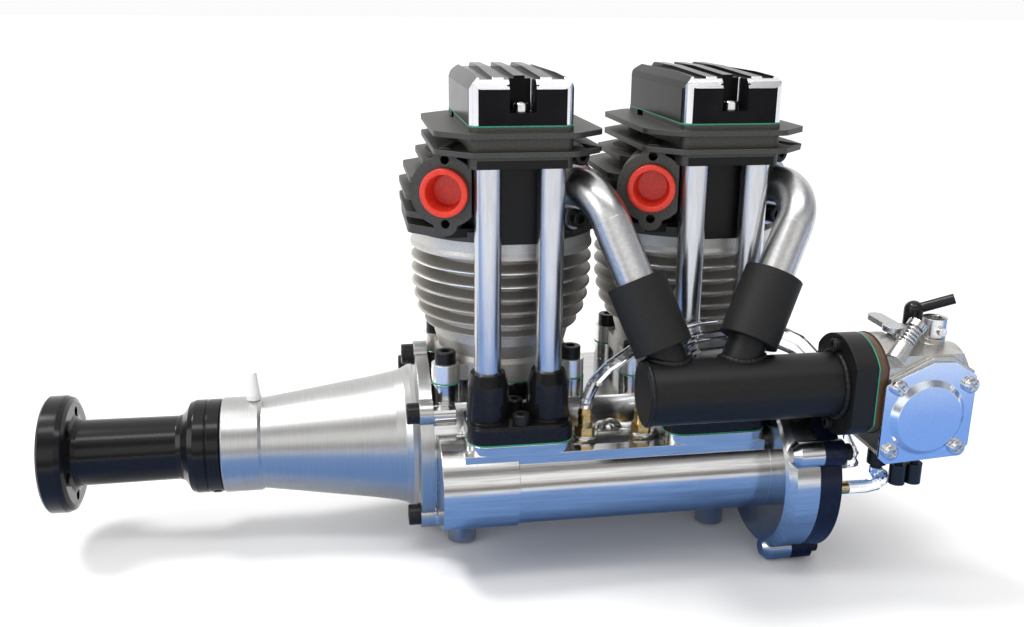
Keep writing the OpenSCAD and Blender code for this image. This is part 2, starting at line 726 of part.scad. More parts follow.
module carb_body() {
    color("LightSlateGray") difference() {
        union() {
            translate([0, carb_y1 - 4, 0]) rotate([90, 0, 0]) linear_extrude(carb_y1 - 4 - carb_y0)
                translate(cover_mid) polygon([for (p = cover_pts) [max(p[0] * 0.97, -15.2), p[1] * 0.97 + (p[1] > 5 ? 2 : 0)]]);
            slab_x(carb_x, carb_x + 6) translate([man_y, man_z]) flange_outline(flange_r - 0.3, flange_w - 0.2);
            bar_x(carb_x + 2, carb_x + carb_l + 1, inlet_r + 3, man_y, man_z);
            translate([carb_x + 4, carb_y1 - 4, carb_z0 + 4]) cube([24, 4, 28]);
            translate([throttle_x, man_y, carb_z0 - 2]) cylinder(h = carb_z1 - carb_z0 + 4, r = 5);
            translate([choke_x, man_y, carb_z0 - 2]) cylinder(h = carb_z1 - carb_z0 + 4, r = 4.5);
            translate([carb_x + 22, man_y + 10, carb_z1 - 8]) cylinder(h = 8, r = 6);
            translate([carb_x + 5, carb_y0 + 2, 50]) cube([24, 26, carb_z1 - 50]);
            translate(idle_at) rotate(idle_rot) translate([0, 0, -5]) cylinder(h = 7, r = 3.4);
        }
        bar_x(carb_x - 1, choke_x - 8, throttle_r, man_y, man_z);
        bar_x(choke_x - 8.01, carb_x + carb_l + 2, inlet_r, man_y, man_z);
        translate([throttle_x, man_y, 0]) cylinder(h = 80, r = 2.5 + run_fit);
        translate([choke_x, man_y, 0]) cylinder(h = 80, r = 2 + run_fit);
        for (s = [-1, 1]) {
            bar_x(carb_x - 1, carb_x + 12, 2, man_y, man_z + s * flange_hole);
        }
        for (p = screw_pts) {
            translate([cover_mid[0] + p[0], carb_y0 + 7, cover_mid[1] + p[1]]) rotate([90, 0, 0]) cylinder(h = 9, r = 1.5);
        }
        translate([elbow_at[0], elbow_at[1], carb_z1 - 5]) cylinder(h = 10, r = 2.4);
        translate(idle_at) rotate(idle_rot) translate([0, 0, -4]) cylinder(h = 7, r = 1.5);
        for (x = needle_x) {
            translate([x, carb_y0 + 8, 12]) cylinder(h = 12, r = 1.6);
        }
    }
}

module carb_cover() {
    color("LightSteelBlue") difference() {
        union() {
            translate([0, carb_y0, 0]) rotate([90, 0, 0]) linear_extrude(1.2)
                translate(cover_mid) polygon(rounded_pts(cover_pts, 1.6));
            translate([cover_mid[0] - 0.2, carb_y0 - 1.2, cover_mid[1] - 0.8]) rotate([90, 0, 0])
                cylinder(h = 2, r1 = 14.6, r2 = 12.4);
        }
        for (p = screw_pts) {
            translate([cover_mid[0] + p[0], carb_y0 + 1, cover_mid[1] + p[1]]) rotate([90, 0, 0]) cylinder(h = 4, r = 1.5);
        }
        translate([cover_mid[0] + 13, carb_y0 + 1, cover_mid[1] - 2]) rotate([90, 0, 0]) cylinder(h = 5, r = 0.8);
    }
}

module carb_screws() {
    color("White") for (p = screw_pts) {
        translate([cover_mid[0] + p[0], carb_y0 - 1.2, cover_mid[1] + p[1]]) rotate([90, 0, 0]) difference() {
            union() {
                cylinder(h = 1.4, r = 3);
                translate([0, 0, 1.4]) cylinder(h = 0.8, r1 = 3, r2 = 1.9);
                translate([0, 0, -6]) cylinder(h = 6, r = 1.5);
            }
            for (a = [45, 135]) {
                rotate([0, 0, a]) translate([-1.7, -0.4, 1]) cube([3.4, 0.8, 2]);
            }
        }
    }
}

elbow_at = [carb_x + 22, man_y + 10];
idle_at = [carb_x + 5.6, carb_y0 + 5, carb_z1 + 1.6];
idle_rot = [-20, 44, 0];
needle_x = [carb_x + 12, carb_x + 18.4];
module fuel_elbow() {
    color("Black") {
        translate([elbow_at[0], elbow_at[1], carb_z1]) cylinder(h = 9.5, r = 3.6);
        translate([elbow_at[0], elbow_at[1], carb_z1 - 5]) cylinder(h = 5, r = 2.4);
        translate([elbow_at[0], elbow_at[1], carb_z1 + 9.5]) sphere(3.6);
        translate([elbow_at[0], elbow_at[1], carb_z1 + 9.5]) rotate([0, 68, -25]) cylinder(h = 15, r = 2);
        // cap under the body that takes the pulse hose
        translate([pulse_end[0], pulse_end[1], pulse_end[2] + 0.3]) cylinder(h = 2, r = 2.2);
        translate([pulse_end[0], pulse_end[1], pulse_end[2] + 2]) cylinder(h = carb_z0 - 4 - pulse_end[2], r = 3.7);
    }
}

module carb_adjusters() {
    color("Silver") {
        // idle stop screw with its spring
        translate(idle_at) rotate(idle_rot) {
            translate([0, 0, -4]) cylinder(h = 7, r = 1.5);
            translate([0, 0, 2]) cylinder(h = 8, r = 2.2);
            for (k = [0 : 4]) {
                translate([0, 0, 2.6 + 1.5 * k]) rotate_extrude() translate([2.6, 0]) circle(0.55, $fn = 16);
            }
            difference() {
                translate([0, 0, 9.6]) cylinder(h = 2.6, r = 3.6);
                translate([-4, -0.5, 11.2]) cube([8, 1, 2]);
            }
        }
        // mixture needles under the body
        for (x = needle_x) {
            translate([x, carb_y0 + 8, 6]) cylinder(h = 14, r = 1.6);
            translate([x, carb_y0 + 8, 5]) cylinder(h = 8, r = 3.1);
        }
    }
}

module throttle_shaft() {
    color("SlateGray") {
        translate([throttle_x, man_y, carb_z0]) cylinder(h = lever_z - carb_z0 + 2, r = 2.5);
        translate([throttle_x, man_y, man_z]) rotate([0, 90, 0]) cylinder(h = 1.2, r = throttle_r - 0.35, center = true);
        translate([throttle_x, man_y, lever_z]) cylinder(h = 2, r = 4.4);
        translate([throttle_x - 3, man_y, lever_z]) cube([6, 14, 2]);
        translate([throttle_x, man_y + 14, lever_z]) cylinder(h = 2, r = 3);
    }
}

module choke_shaft() {
    color("Silver") {
        translate([choke_x, man_y, carb_z0 - 3.5]) cylinder(h = carb_z1 - carb_z0 + 6, r = 2);
        translate([choke_x - inlet_r + 0.8, man_y - 0.5, man_z]) rotate([-90, 0, 0])
            translate([inlet_r - 0.8, 0, 0]) cylinder(h = 1, r = inlet_r - 0.8);
        difference() {
            translate([choke_x, man_y, carb_z1 + 2.5]) cylinder(h = 7, r = 4.6);
            translate([choke_x, man_y, carb_z1 + 6.5]) cylinder(h = 6, r = 2.4);
        }
        translate([choke_x, man_y - 6.4, carb_z1 + 5.4]) rotate([-90, 0, 0]) cylinder(h = 4, r = 1.6);
    }
}

// Fittings and hoses

module breather_barbs() {
    color("Goldenrod") {
        for (x = [213, 236]) {
            translate([x, cam_y, 10]) cylinder(h = barb_z - 9, r = 2.4);
            translate([x, cam_y, barb_z]) cylinder(h = 3, r = 4.1, $fn = 6);
            translate([x, cam_y, barb_z + 3]) cylinder(h = 2.2, r = 3);
            for (k = [0 : 1]) {
                translate([x, cam_y, barb_z + 5.2 + 2.7 * k]) cylinder(h = 2.7, r1 = 3.1, r2 = 2.5);
            }
        }
        for (p = rear_ports) {
            bar_x(cover_x1 - 5, cover_x1, 2.4, p[0], p[1]);
            bar_x(cover_x1, cover_x1 + 3, 3.6, p[0], p[1]);
            bar_x(cover_x1 + 3, cover_x1 + 7, 2.6, p[0], p[1]);
        }
        translate([nipple_x, 0, 14]) cylinder(h = 10, r = 1.6);
        translate([nipple_x, 0, 19.8]) cylinder(h = 2.4, r = 3);
        translate([nipple_x, 0, 22.2]) cylinder(h = 9.5, r1 = 2.8, r2 = 1.8);
    }
}

// two breather lines from the cam tunnel over the rear of the engine
hose_a = [[213, -45, 26.7], [213, -45, 29.5], [215, -48, 37], [220, -51.5, 45], [229, -52.9, 52], [241, -53, 57],
    [256, -53, 60], [270, -53, 61], [284, -53, 59], [296, -53, 53], [306, -53, 43], [314, -51, 30],
    [319, -49, 16], [321, -45, 3], [320, -41.5, -5.5], [317, -40, -9], [313.5, -40, -9]];
hose_b = [[236, -45, 26.7], [236, -45, 29.5], [238, -49, 39], [244, -54, 48.5], [254, -56, 54], [266, -56, 55],
    [280, -56, 53], [292, -55.5, 47.5], [302, -54.5, 39], [309, -53.6, 29], [314.6, -54, 19], [317.6, -57.6, 11.4],
    [318.6, -62.4, 7.4], [317, -66, 6], [313.5, -66, 6]];
module breather_hoses() {
    color("Lavender") {
        sweep(hose_a, 2.5);
        sweep(hose_b, 2.5);
    }
}

pulse_line = [[313.5, -70, -3], [317, -70, -3.1], [321, -70.6, -2.8], [324.3, -72.3, -1], [325.3, -74.5, 2.2],
    [323.6, -76.4, 4.8], [321.4, -77, 6], [320.6, -77, 7.2], [320.6, -77, 8.4]];
pulse_end = pulse_line[len(pulse_line) - 1];
module pulse_hose() {
    color("AliceBlue") sweep(pulse_line, 2.6, 12);
}

module spark_plugs() {
    color("White") for (x = centres) {
        translate([x, 8, 98]) rotate([-62, 0, 0]) {
            translate([0, 0, 1]) cylinder(h = 16, r = 5);
            translate([0, 0, 17]) cylinder(h = 3, r = 6.5);
            translate([0, 0, 20]) cylinder(h = 8, r = 8, $fn = 6);
            translate([0, 0, 28]) cylinder(h = 3, r1 = 6, r2 = 4.4);
            translate([0, 0, 31]) cylinder(h = 14, r1 = 4.4, r2 = 3.4);
            translate([0, 0, 45]) cylinder(h = 4, r = 2.6);
        }
    }
}

module gaskets() {
    color("MediumSeaGreen") {
        for (x = centres) {
            // rocker cover, cylinder foot and lifter block
            translate([x, -12.8, head_top]) linear_extrude(gasket_t) difference() {
                rounded(2 * cover_w, 75.6, 3.5);
                translate([0, 3.3]) rounded(31, 53, 2);
                for (s = [-1, 1]) {
                    translate([s * rod_x, cam_y + 12.8]) circle(4.1);
                    translate([0, cover_screw_y[0] + 12.8]) circle(1.5);
                    translate([0, cover_screw_y[1] + 12.8]) circle(1.5);
                }
            }
            translate([x, 0, seat_z]) linear_extrude(gasket_t) difference() {
                union() {
                    circle(27.5);
                    for (sx = [-1, 1], sy = [-1, 1]) {
                        translate([sx * foot_x, sy * foot_y]) circle(5.8);
                    }
                }
                circle(23.5);
                for (sx = [-1, 1], sy = [-1, 1]) {
                    translate([sx * foot_x, sy * foot_y]) circle(2.5);
                }
            }
            translate([x, -44.7, pad_z]) linear_extrude(gasket_t) difference() {
                rounded(41, 26, 7);
                for (s = [-1, 1]) {
                    translate([s * rod_x, -0.3]) circle(5.2);
                    translate([0, s * 8 - 0.3]) circle(2);
                }
            }
            translate([x, 0, 0]) at_port(1, intake_a) rotate([90, 0, 0]) linear_extrude(gasket_t) difference() {
                union() {
                    circle(9.2);
                    translate([0, port_ear]) circle(4.6);
                    translate([0, -port_ear]) circle(4.6);
                    square([7.6, 2 * port_ear], center = true);
                }
                circle(pipe_r - 1.4);
                translate([0, port_ear]) circle(2);
                translate([0, -port_ear]) circle(2);
            }
        }
        for (gx = [ins_x - gasket_t, carb_x - gasket_t]) {
            slab_x(gx, gx + gasket_t) translate([man_y, man_z]) difference() {
                flange_outline(flange_r, flange_w);
                circle(throttle_r + 0.5);
                translate([0, flange_hole]) circle(2);
                translate([0, -flange_hole]) circle(2);
            }
        }
    }
}

// Fasteners

module socket_screws_m5() {
    color("Black") {
        for (x = centres, sx = [-1, 1], sy = [-1, 1]) {
            translate([x + sx * foot_x, sy * foot_y, foot_top]) cap_screw(5, 18, 4.25, 5);
        }
        for (a = nose_lobes) {
            translate([148.7, nose_screw_r * cos(a), nose_screw_r * sin(a)]) rotate([0, -90, 0])
                cap_screw(5, 12, 4.25, 5);
        }
        translate([148.7, 0, nose_screw_r]) rotate([0, -90, 0]) cap_screw(5, 5.5, 4.25, 5);
    }
}

module socket_screws_m4() {
    color("Black") {
        for (a = lobes_cam) {
            translate([cover_x1, cam_y + 35 * cos(a), cam_z + 35 * sin(a)]) rotate([0, 90, 0]) rear_screw();
        }
        for (a = lobes_crank) {
            translate([cover_x1, 36 * cos(a), 36 * sin(a)]) rotate([0, 90, 0]) rear_screw();
        }
        for (x = centres) {
            for (s = [-1, 1]) {
                translate([x, cam_y + s * 8, pad_z + gasket_t + 6.8]) cap_screw(4, 12, 3.3, 4);
            }
            translate([x, 0, 0]) at_port(1, intake_a) for (z = [-port_ear, port_ear]) {
                translate([0, -gasket_t - 3, z]) rotate([90, 0, 0]) cap_screw(4, 10, 3.5, 4);
            }
        }
        for (s = [-1, 1]) {
            translate([man_x1, man_y, man_z + s * flange_hole]) rotate([0, -90, 0]) cap_screw(4, 16.5, 2.6, 2.6);
        }
    }
}
module rear_screw() {
    cap_screw(3.3, 14, 3.3, 3.6);
}

module rocker_cover_screws() {
    color("WhiteSmoke") for (x = centres, y = cover_screw_y) {
        translate([x, y, cover_z + 4.4]) cap_screw(3, 10, 2.8, 3.2);
    }
}

// Moving parts inside

module ring_bearing(x0, x1) {
    difference() {
        bar_x(x0, x1, 17.5);
        bar_x(x0 - 1, x1 + 1, shaft_r + run_fit);
    }
}
module bearings() {
    color("Silver") {
        ring_bearing(bearing_x, bearing_x + 9);
        ring_bearing(148, 160);
        ring_bearing(cyl_x + cyl_pitch / 2 - 5, cyl_x + cyl_pitch / 2 + 5);
        ring_bearing(back_x - 5, gear_x - 1.5);
    }
}

module rocker_shafts() {
    color("Silver") for (x = centres) {
        bar_x(x - 15.5, x + 15.5, 3, rocker_y, rocker_z);
    }
}

module crankshaft() {
    color("SlateGray") {
        bar_x(hub_bore_x, 69, 7.5);
        bar_x(69, centres[0] - web_in, shaft_r);
        bar_x(centres[0] + web_in, centres[1] - web_in, shaft_r);
        bar_x(centres[1] + web_in, gear_x + gear_w + 0.8, shaft_r);
        for (x = centres, s = [-1, 1]) {
            difference() {
                bar_x(x + s * web_in + (s < 0 ? -web_t : 0), x + s * web_in + (s < 0 ? 0 : web_t), web_r);
                for (a = [1, -1]) {
                    translate([x + s * (web_in + web_t / 2) - web_t, a > 0 ? 12 : -12 - 20, 0.1])
                        cube([2 * web_t, 20, 30]);
                }
            }
        }
        slab_x(gear_x, gear_x + gear_w) gear_2d(gear_teeth, line_a);
    }
}

module prop_hub() {
    color("Black") difference() {
        turned([[0, 0], [hub_d / 2 - 1, 0], [hub_d / 2, 1], [hub_d / 2, hub_t - 3], [hub_d / 2 - 0.9, hub_t - 0.9],
            [hub_d / 2 - 3, hub_t], [barrel_d / 2 + 2.6, hub_t], [barrel_d / 2 + 0.8, hub_t + 0.8],
            [barrel_d / 2, hub_t + 2.6], [barrel_d / 2 - 0.3, 51], [barrel_d / 2 + 0.5, 53.2],
            [barrel_d / 2 + 2.4, 54.6], [collar_d / 2 - 2.6, 55.2], [collar_d / 2 - 0.8, 56.2], [collar_d / 2, 58.4],
            [collar_d / 2, 62.8], [collar_d / 2 - 0.6, 62.8], [collar_d / 2 - 0.6, 63.4], [0, 63.4]]);
        bar_x(-1, 12, pilot_r);
        bar_x(hub_bore_x, 65, 7.5);
        for (i = [0 : 5]) {
            bar_x(-1, hub_t + 3, hub_hole_r, hub_pcd / 2 * cos(60 * i + 10), hub_pcd / 2 * sin(60 * i + 10));
        }
    }
}

module magnet_ring() {
    color("Black") difference() {
        turned([[7.5, 63.4], [collar_d / 2 - 0.3, 63.4], [collar_d / 2, 63.7], [collar_d / 2, 68.4],
            [collar_d / 2 - 0.3, 68.7], [7.5, 68.7]]);
    }
    color("Silver") translate([66.1, 0, 0]) rotate([148, 0, 0]) translate([0, 0, collar_d / 2 - 1.5])
        cylinder(h = 1.8, r = 1.7);
}

module camshaft() {
    color("SlateGray") {
        bar_x(162, gear_x + gear_w + 0.8, 5, cam_y, cam_z);
        for (x = [162, cyl_x + cyl_pitch / 2 - 3, back_x - 5]) {
            bar_x(x, x + 6, cam_bore_r - run_fit, cam_y, cam_z);
        }
        for (k = [0 : 3]) {
            x = centres[floor(k / 2)] + (k % 2 == 0 ? -1 : 1) * rod_x;
            slab_x(x - 4, x + 4) translate([cam_y, cam_z]) rotate([0, 0, [215, 305, 35, 125][k]]) hull() {
                circle(6.5, $fn = 32);
                translate([3.5 + lift, 0]) circle(3, $fn = 24);
            }
        }
        slab_x(gear_x, gear_x + gear_w) translate([cam_y, cam_z])
            gear_2d(2 * gear_teeth, line_a + 180 + 90 / gear_teeth);
    }
}
cam_reach = 6.5 + lift;

module piston_at(x) {
    translate([x, 0, pin_z]) {
        difference() {
            union() {
                difference() {
                    translate([0, 0, -11]) cylinder(h = 11 + crown_h, r = piston_r);
                    translate([0, 0, -12]) cylinder(h = 19, r = piston_r - 3);
                    for (z = [4.4, 7.4]) {
                        translate([0, 0, z]) difference() {
                            cylinder(h = 1.2, r = piston_r + 1);
                            cylinder(h = 1.2, r = piston_r - 0.8);
                        }
                    }
                }
                for (s = [-1, 1]) {
                    translate([s > 0 ? rod_w / 2 + 0.6 : -piston_r + 3.5, 0, 0]) rotate([0, 90, 0])
                        cylinder(h = piston_r - 3.5 - rod_w / 2 - 0.6, r = 7);
                }
            }
        }
        translate([-piston_r + 2.5, 0, 0]) rotate([0, 90, 0]) cylinder(h = 2 * piston_r - 5, r = 4);
    }
}
module front_piston() {
    color("LightGray") piston_at(centres[0]);
}
module rear_piston() {
    color("LightGray") piston_at(centres[1]);
}

module conrod_at(x) {
    translate([x, 0, 0]) difference() {
        union() {
            bar_x(-rod_w / 2, rod_w / 2, 7, 0, throw);
            bar_x(-web_in + web_gap, web_in - web_gap, 4.5, 0, throw);
            bar_x(-rod_w / 2, rod_w / 2, 6.2, 0, pin_z);
            translate([-2.5, -4, throw]) cube([5, 8, rod_l]);
        }
        bar_x(-rod_w, rod_w, 4 + run_fit, 0, pin_z);
    }
}
module front_conrod() {
    color("Gray") conrod_at(centres[0]);
}
module rear_conrod() {
    color("Gray") conrod_at(centres[1]);
}

module pushrod_at(i, s) {
    foot = cam_z + cam_reach + lash;
    color("Gray") translate([centres[i] + s * rod_x, cam_y, 0]) {
        translate([0, 0, foot]) cylinder(h = 26 - foot, r = 4.5);
        translate([0, 0, 26]) cylinder(h = arm_z - lash - 1.75 - 26, r = 1.75);
        translate([0, 0, arm_z - lash - 1.75]) sphere(1.75);
    }
}
module front_exhaust_pushrod() {
    pushrod_at(0, -1);
}
module front_intake_pushrod() {
    pushrod_at(0, 1);
}
module rear_exhaust_pushrod() {
    pushrod_at(1, -1);
}
module rear_intake_pushrod() {
    pushrod_at(1, 1);
}

module rocker_at(i, s) {
    x = centres[i] + s * (rod_x - 1.5);
    tip = s * 1.5;
    color("Gray") difference() {
        union() {
            bar_x(x - 4, x + 4, 5.4, rocker_y, rocker_z);
            translate([x - 3 + tip, cam_y - 1.9, arm_z]) cube([6, rocker_y - cam_y + 1.9, 3.6]);
            translate([x - 3 + tip, rocker_y, arm_z]) cube([6, valve_y - rocker_y + 1.9, 3.6]);
        }
        bar_x(x - 5, x + 5, 3 + run_fit, rocker_y, rocker_z);
    }
}
module front_exhaust_rocker() {
    rocker_at(0, -1);
}
module front_intake_rocker() {
    rocker_at(0, 1);
}
module rear_exhaust_rocker() {
    rocker_at(1, -1);
}
module rear_intake_rocker() {
    rocker_at(1, 1);
}

module valve_at(i, s) {
    color("Silver") translate([centres[i] + s * rod_x, valve_y, 0]) {
        translate([0, 0, chamber_z - 2.1]) cylinder(h = 1.8, r = valve_r);
        translate([0, 0, chamber_z - 2]) cylinder(h = arm_z - lash - 2 - chamber_z + 2, r = 2.5);
        translate([0, 0, arm_z - lash - 2]) cylinder(h = 2, r = 1.5);
        translate([0, 0, spring_z1]) cylinder(h = 2.2, r = 7);
    }
}
module front_exhaust_valve() {
    valve_at(0, -1);
}
module front_intake_valve() {
    valve_at(0, 1);
}
module rear_exhaust_valve() {
    valve_at(1, -1);
}
module rear_intake_valve() {
    valve_at(1, 1);
}

module spring_at(i, s) {
    turns = 4;
    step = 10;
    wire = 0.8;
    z0 = spring_z0 + wire + 0.05;
    z1 = spring_z1 - wire - 0.25;
    color("Silver") translate([centres[i] + s * rod_x, valve_y, 0])
        sweep([for (k = [0 : turns * step]) let (a = 360 * k / step)
            [5.6 * cos(a), 5.6 * sin(a), z0 + (z1 - z0) * k / (turns * step)]], wire, 6, [0, 0, 1]);
}
module front_exhaust_spring() {
    spring_at(0, -1);
}
module front_intake_spring() {
    spring_at(0, 1);
}
module rear_exhaust_spring() {
    spring_at(1, -1);
}
module rear_intake_spring() {
    spring_at(1, 1);
}

module exhaust_plug(i) {
    color("Red") translate([centres[i], 0, 0]) at_port(-1, exhaust_a) difference() {
        union() {
            translate([0, -0.3, 0]) rotate([90, 0, 0]) cylinder(h = 2.6, r = 9);
            translate([0, 9, 0]) rotate([90, 0, 0]) cylinder(h = 9.6, r = plug_r);
        }
        translate([0, 5.5, 0]) rotate([90, 0, 0]) cylinder(h = 12, r = 5.6);
    }
}
module front_exhaust_plug() {
    exhaust_plug(0);
}
module rear_exhaust_plug() {
    exhaust_plug(1);
}

crankcase();
nose_housing();
rear_cover();
front_cylinder();
rear_cylinder();
front_head();
rear_head();
front_rocker_cover();
rear_rocker_cover();
front_lifter_block();
rear_lifter_block();
pushrod_tubes();
front_intake_pipe();
rear_intake_pipe();
intake_hoses();
intake_manifold();
carb_insulator();
carb_body();
carb_cover();
fuel_elbow();
carb_adjusters();
breather_barbs();
breather_hoses();
pulse_hose();
spark_plugs();
gaskets();
socket_screws_m5();
socket_screws_m4();
rocker_cover_screws();
carb_screws();
bearings();
rocker_shafts();
crankshaft();
prop_hub();
magnet_ring();
camshaft();
front_piston();
rear_piston();
front_conrod();
rear_conrod();
throttle_shaft();
choke_shaft();
front_exhaust_plug();
rear_exhaust_plug();
front_exhaust_pushrod();
front_intake_pushrod();
rear_exhaust_pushrod();
rear_intake_pushrod();
front_exhaust_rocker();
front_intake_rocker();
rear_exhaust_rocker();
rear_intake_rocker();
front_exhaust_valve();
front_intake_valve();
rear_exhaust_valve();
rear_intake_valve();
front_exhaust_spring();
front_intake_spring();
rear_exhaust_spring();
rear_intake_spring();
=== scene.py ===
import bpy
import bmesh
import math
from mathutils import Matrix, Vector


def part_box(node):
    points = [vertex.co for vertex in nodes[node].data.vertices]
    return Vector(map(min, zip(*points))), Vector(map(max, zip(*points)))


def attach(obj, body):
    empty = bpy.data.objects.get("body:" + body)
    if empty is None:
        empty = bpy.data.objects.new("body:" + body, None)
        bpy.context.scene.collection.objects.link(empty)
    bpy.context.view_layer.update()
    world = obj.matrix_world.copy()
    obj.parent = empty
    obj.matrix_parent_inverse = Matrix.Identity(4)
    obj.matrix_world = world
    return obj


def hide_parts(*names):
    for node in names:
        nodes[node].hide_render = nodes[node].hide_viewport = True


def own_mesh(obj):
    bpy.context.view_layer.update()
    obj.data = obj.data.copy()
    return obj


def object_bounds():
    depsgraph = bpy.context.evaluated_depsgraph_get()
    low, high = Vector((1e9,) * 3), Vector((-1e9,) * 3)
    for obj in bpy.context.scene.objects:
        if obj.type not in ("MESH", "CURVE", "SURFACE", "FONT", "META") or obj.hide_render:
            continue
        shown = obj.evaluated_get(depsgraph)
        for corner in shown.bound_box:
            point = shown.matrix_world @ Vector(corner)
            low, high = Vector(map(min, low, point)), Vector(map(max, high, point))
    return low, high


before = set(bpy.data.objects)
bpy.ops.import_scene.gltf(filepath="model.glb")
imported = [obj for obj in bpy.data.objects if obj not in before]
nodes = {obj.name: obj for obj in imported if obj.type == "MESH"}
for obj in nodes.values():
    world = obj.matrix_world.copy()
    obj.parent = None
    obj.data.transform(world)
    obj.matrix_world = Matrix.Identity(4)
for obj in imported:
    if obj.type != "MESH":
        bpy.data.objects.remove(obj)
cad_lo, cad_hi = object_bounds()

scene = bpy.context.scene
MM = 0.001
# X runs along the crank from the propeller hub, the photograph is taken from -Y, and Z is up
# middle of each cylinder along the crank, in mm
CYL_X = {"front": 186, "rear": 264}


# Camera fitted to the photograph

CAMERA_AT = (123.292, -410.782, 178.723)
CAMERA_TURN, CAMERA_PITCH, CAMERA_ROLL = 9.340, 16.875, 0.433
FOCAL_PIXELS, FRAME_PIXELS, SENSOR_MM = 1026.449, 1024, 36


def make_camera():
    """Camera turned to the right, pitched down and rolled a little."""
    turn, pitch, roll = (math.radians(a) for a in (CAMERA_TURN, CAMERA_PITCH, CAMERA_ROLL))
    ahead = Vector((math.sin(turn) * math.cos(pitch), math.cos(turn) * math.cos(pitch), -math.sin(pitch)))
    level = Vector((math.cos(turn), -math.sin(turn), 0))
    above = level.cross(ahead)
    right = level * math.cos(roll) + above * math.sin(roll)
    up = above * math.cos(roll) - level * math.sin(roll)
    data = bpy.data.cameras.new("camera")
    data.sensor_width = SENSOR_MM
    data.lens = FOCAL_PIXELS / FRAME_PIXELS * SENSOR_MM
    data.clip_start = 0.01
    camera = bpy.data.objects.new("camera", data)
    scene.collection.objects.link(camera)
    place = Matrix((right, up, -ahead)).transposed().to_4x4()
    place.translation = Vector(CAMERA_AT) * MM
    camera.matrix_world = place
    scene.camera = camera


make_camera()


# Node trees

class Nodes:
    """A node tree that grows node by node; a value is a number, a colour or another node's output."""

    def __init__(self, tree):
        self.tree = tree

    def new(self, kind):
        return self.tree.nodes.new(kind)

    def link(self, output, socket):
        self.tree.links.new(output, socket)

    def feed(self, value, socket):
        if isinstance(value, (int, float)):
            socket.default_value = value
        elif isinstance(value, tuple):
            socket.default_value = value + (1,)
        else:
            self.link(value, socket)

    def ramp(self, fac, stops):
        node = self.new("ShaderNodeValToRGB")
        elements = node.color_ramp.elements
        while len(elements) < len(stops):
            elements.new(0.5)
        for element, (position, color) in zip(elements, stops):
            element.position = position
            element.color = color + (1,)
        self.link(fac, node.inputs[0])
        return node.outputs[0]

    def span(self, fac, lo, hi, fac_lo=0, fac_hi=1):
        """Map fac_lo to lo and fac_hi to hi, and hold both ends."""
        node = self.new("ShaderNodeMapRange")
        for socket, value in zip(node.inputs[1:5], (fac_lo, fac_hi, lo, hi)):
            socket.default_value = value
        self.link(fac, node.inputs[0])
        return node.outputs[0]

    def math(self, operation, *values):
        node = self.new("ShaderNodeMath")
        node.operation = operation
        for socket, value in zip(node.inputs, values):
            self.feed(value, socket)
        return node.outputs[0]

    def mix(self, fac, a, b):
        node = self.new("ShaderNodeMix")
        node.data_type = "RGBA"
        for i, value in ((0, fac), (6, a), (7, b)):
            self.feed(value, node.inputs[i])
        return node.outputs[2]

    def part(self, vector, which):
        """X, Y or Z of a vector output."""
        node = self.new("ShaderNodeSeparateXYZ")
        self.link(vector, node.inputs[0])
        return node.outputs["XYZ".index(which)]


NOISE_ROUGHNESS = 0.55
BEVEL_SAMPLES = 6
# share of the noise below which a grain is all dark, and above which it is all light
GRAIN_DARK, GRAIN_LIGHT = 0.3, 0.7
# scale of the broad patches in which the gloss differs
PATCHES = 60


class Mat(Nodes):
    """A Principled material on object coordinates."""

    def __init__(self, name, **values):
        self.material = bpy.data.materials.new(name)
        self.material.use_nodes = True
        super().__init__(self.material.node_tree)
        self.tree.nodes.clear()
        self.shader = self.new("ShaderNodeBsdfPrincipled")
        self.link(self.shader.outputs[0], self.new("ShaderNodeOutputMaterial").inputs[0])
        self.coords = self.new("ShaderNodeTexCoord").outputs["Object"]
        for key, value in values.items():
            self.shader.inputs[key.replace("_", " ")].default_value = value

    def noise(self, scale, stretch=(1, 1, 1), detail=3):
        mapping = self.new("ShaderNodeMapping")
        mapping.inputs["Scale"].default_value = stretch
        self.link(self.coords, mapping.inputs[0])
        node = self.new("ShaderNodeTexNoise")
        node.inputs["Scale"].default_value = scale
        node.inputs["Detail"].default_value = detail
        node.inputs["Roughness"].default_value = NOISE_ROUGHNESS
        self.link(mapping.outputs[0], node.inputs["Vector"])
        return node.outputs["Fac"]

    def grain(self, noise, dark, light):
        return self.ramp(noise, [(GRAIN_DARK, dark), (GRAIN_LIGHT, light)])

    def axis(self, which):
        return self.part(self.coords, which)

    def normal_axis(self, which):
        return self.part(self.new("ShaderNodeNewGeometry").outputs["True Normal"], which)

    def color(self, output):
        self.link(output, self.shader.inputs["Base Color"])

    def rough(self, output):
        self.link(output, self.shader.inputs["Roughness"])

    def patchy(self, lo, hi):
        """Roughness between lo and hi in broad patches."""
        self.rough(self.span(self.noise(PATCHES, detail=2), lo, hi))

    def metal_but(self, share):
        """Metal except where the share is one."""
        self.link(self.math("SUBTRACT", 1, share), self.shader.inputs["Metallic"])

    def bump(self, height, strength, distance=0.0002, edge=0.0003):
        """Bump from a height; an edge over zero also rounds the shading of the edges."""
        node = self.new("ShaderNodeBump")
        node.inputs["Strength"].default_value = strength
        node.inputs["Distance"].default_value = distance
        self.link(height, node.inputs["Height"])
        if edge:
            bevel = self.new("ShaderNodeBevel")
            bevel.samples = BEVEL_SAMPLES
            bevel.inputs["Radius"].default_value = edge
            self.link(bevel.outputs[0], node.inputs["Normal"])
        self.link(node.outputs[0], self.shader.inputs["Normal"])


# Plain materials

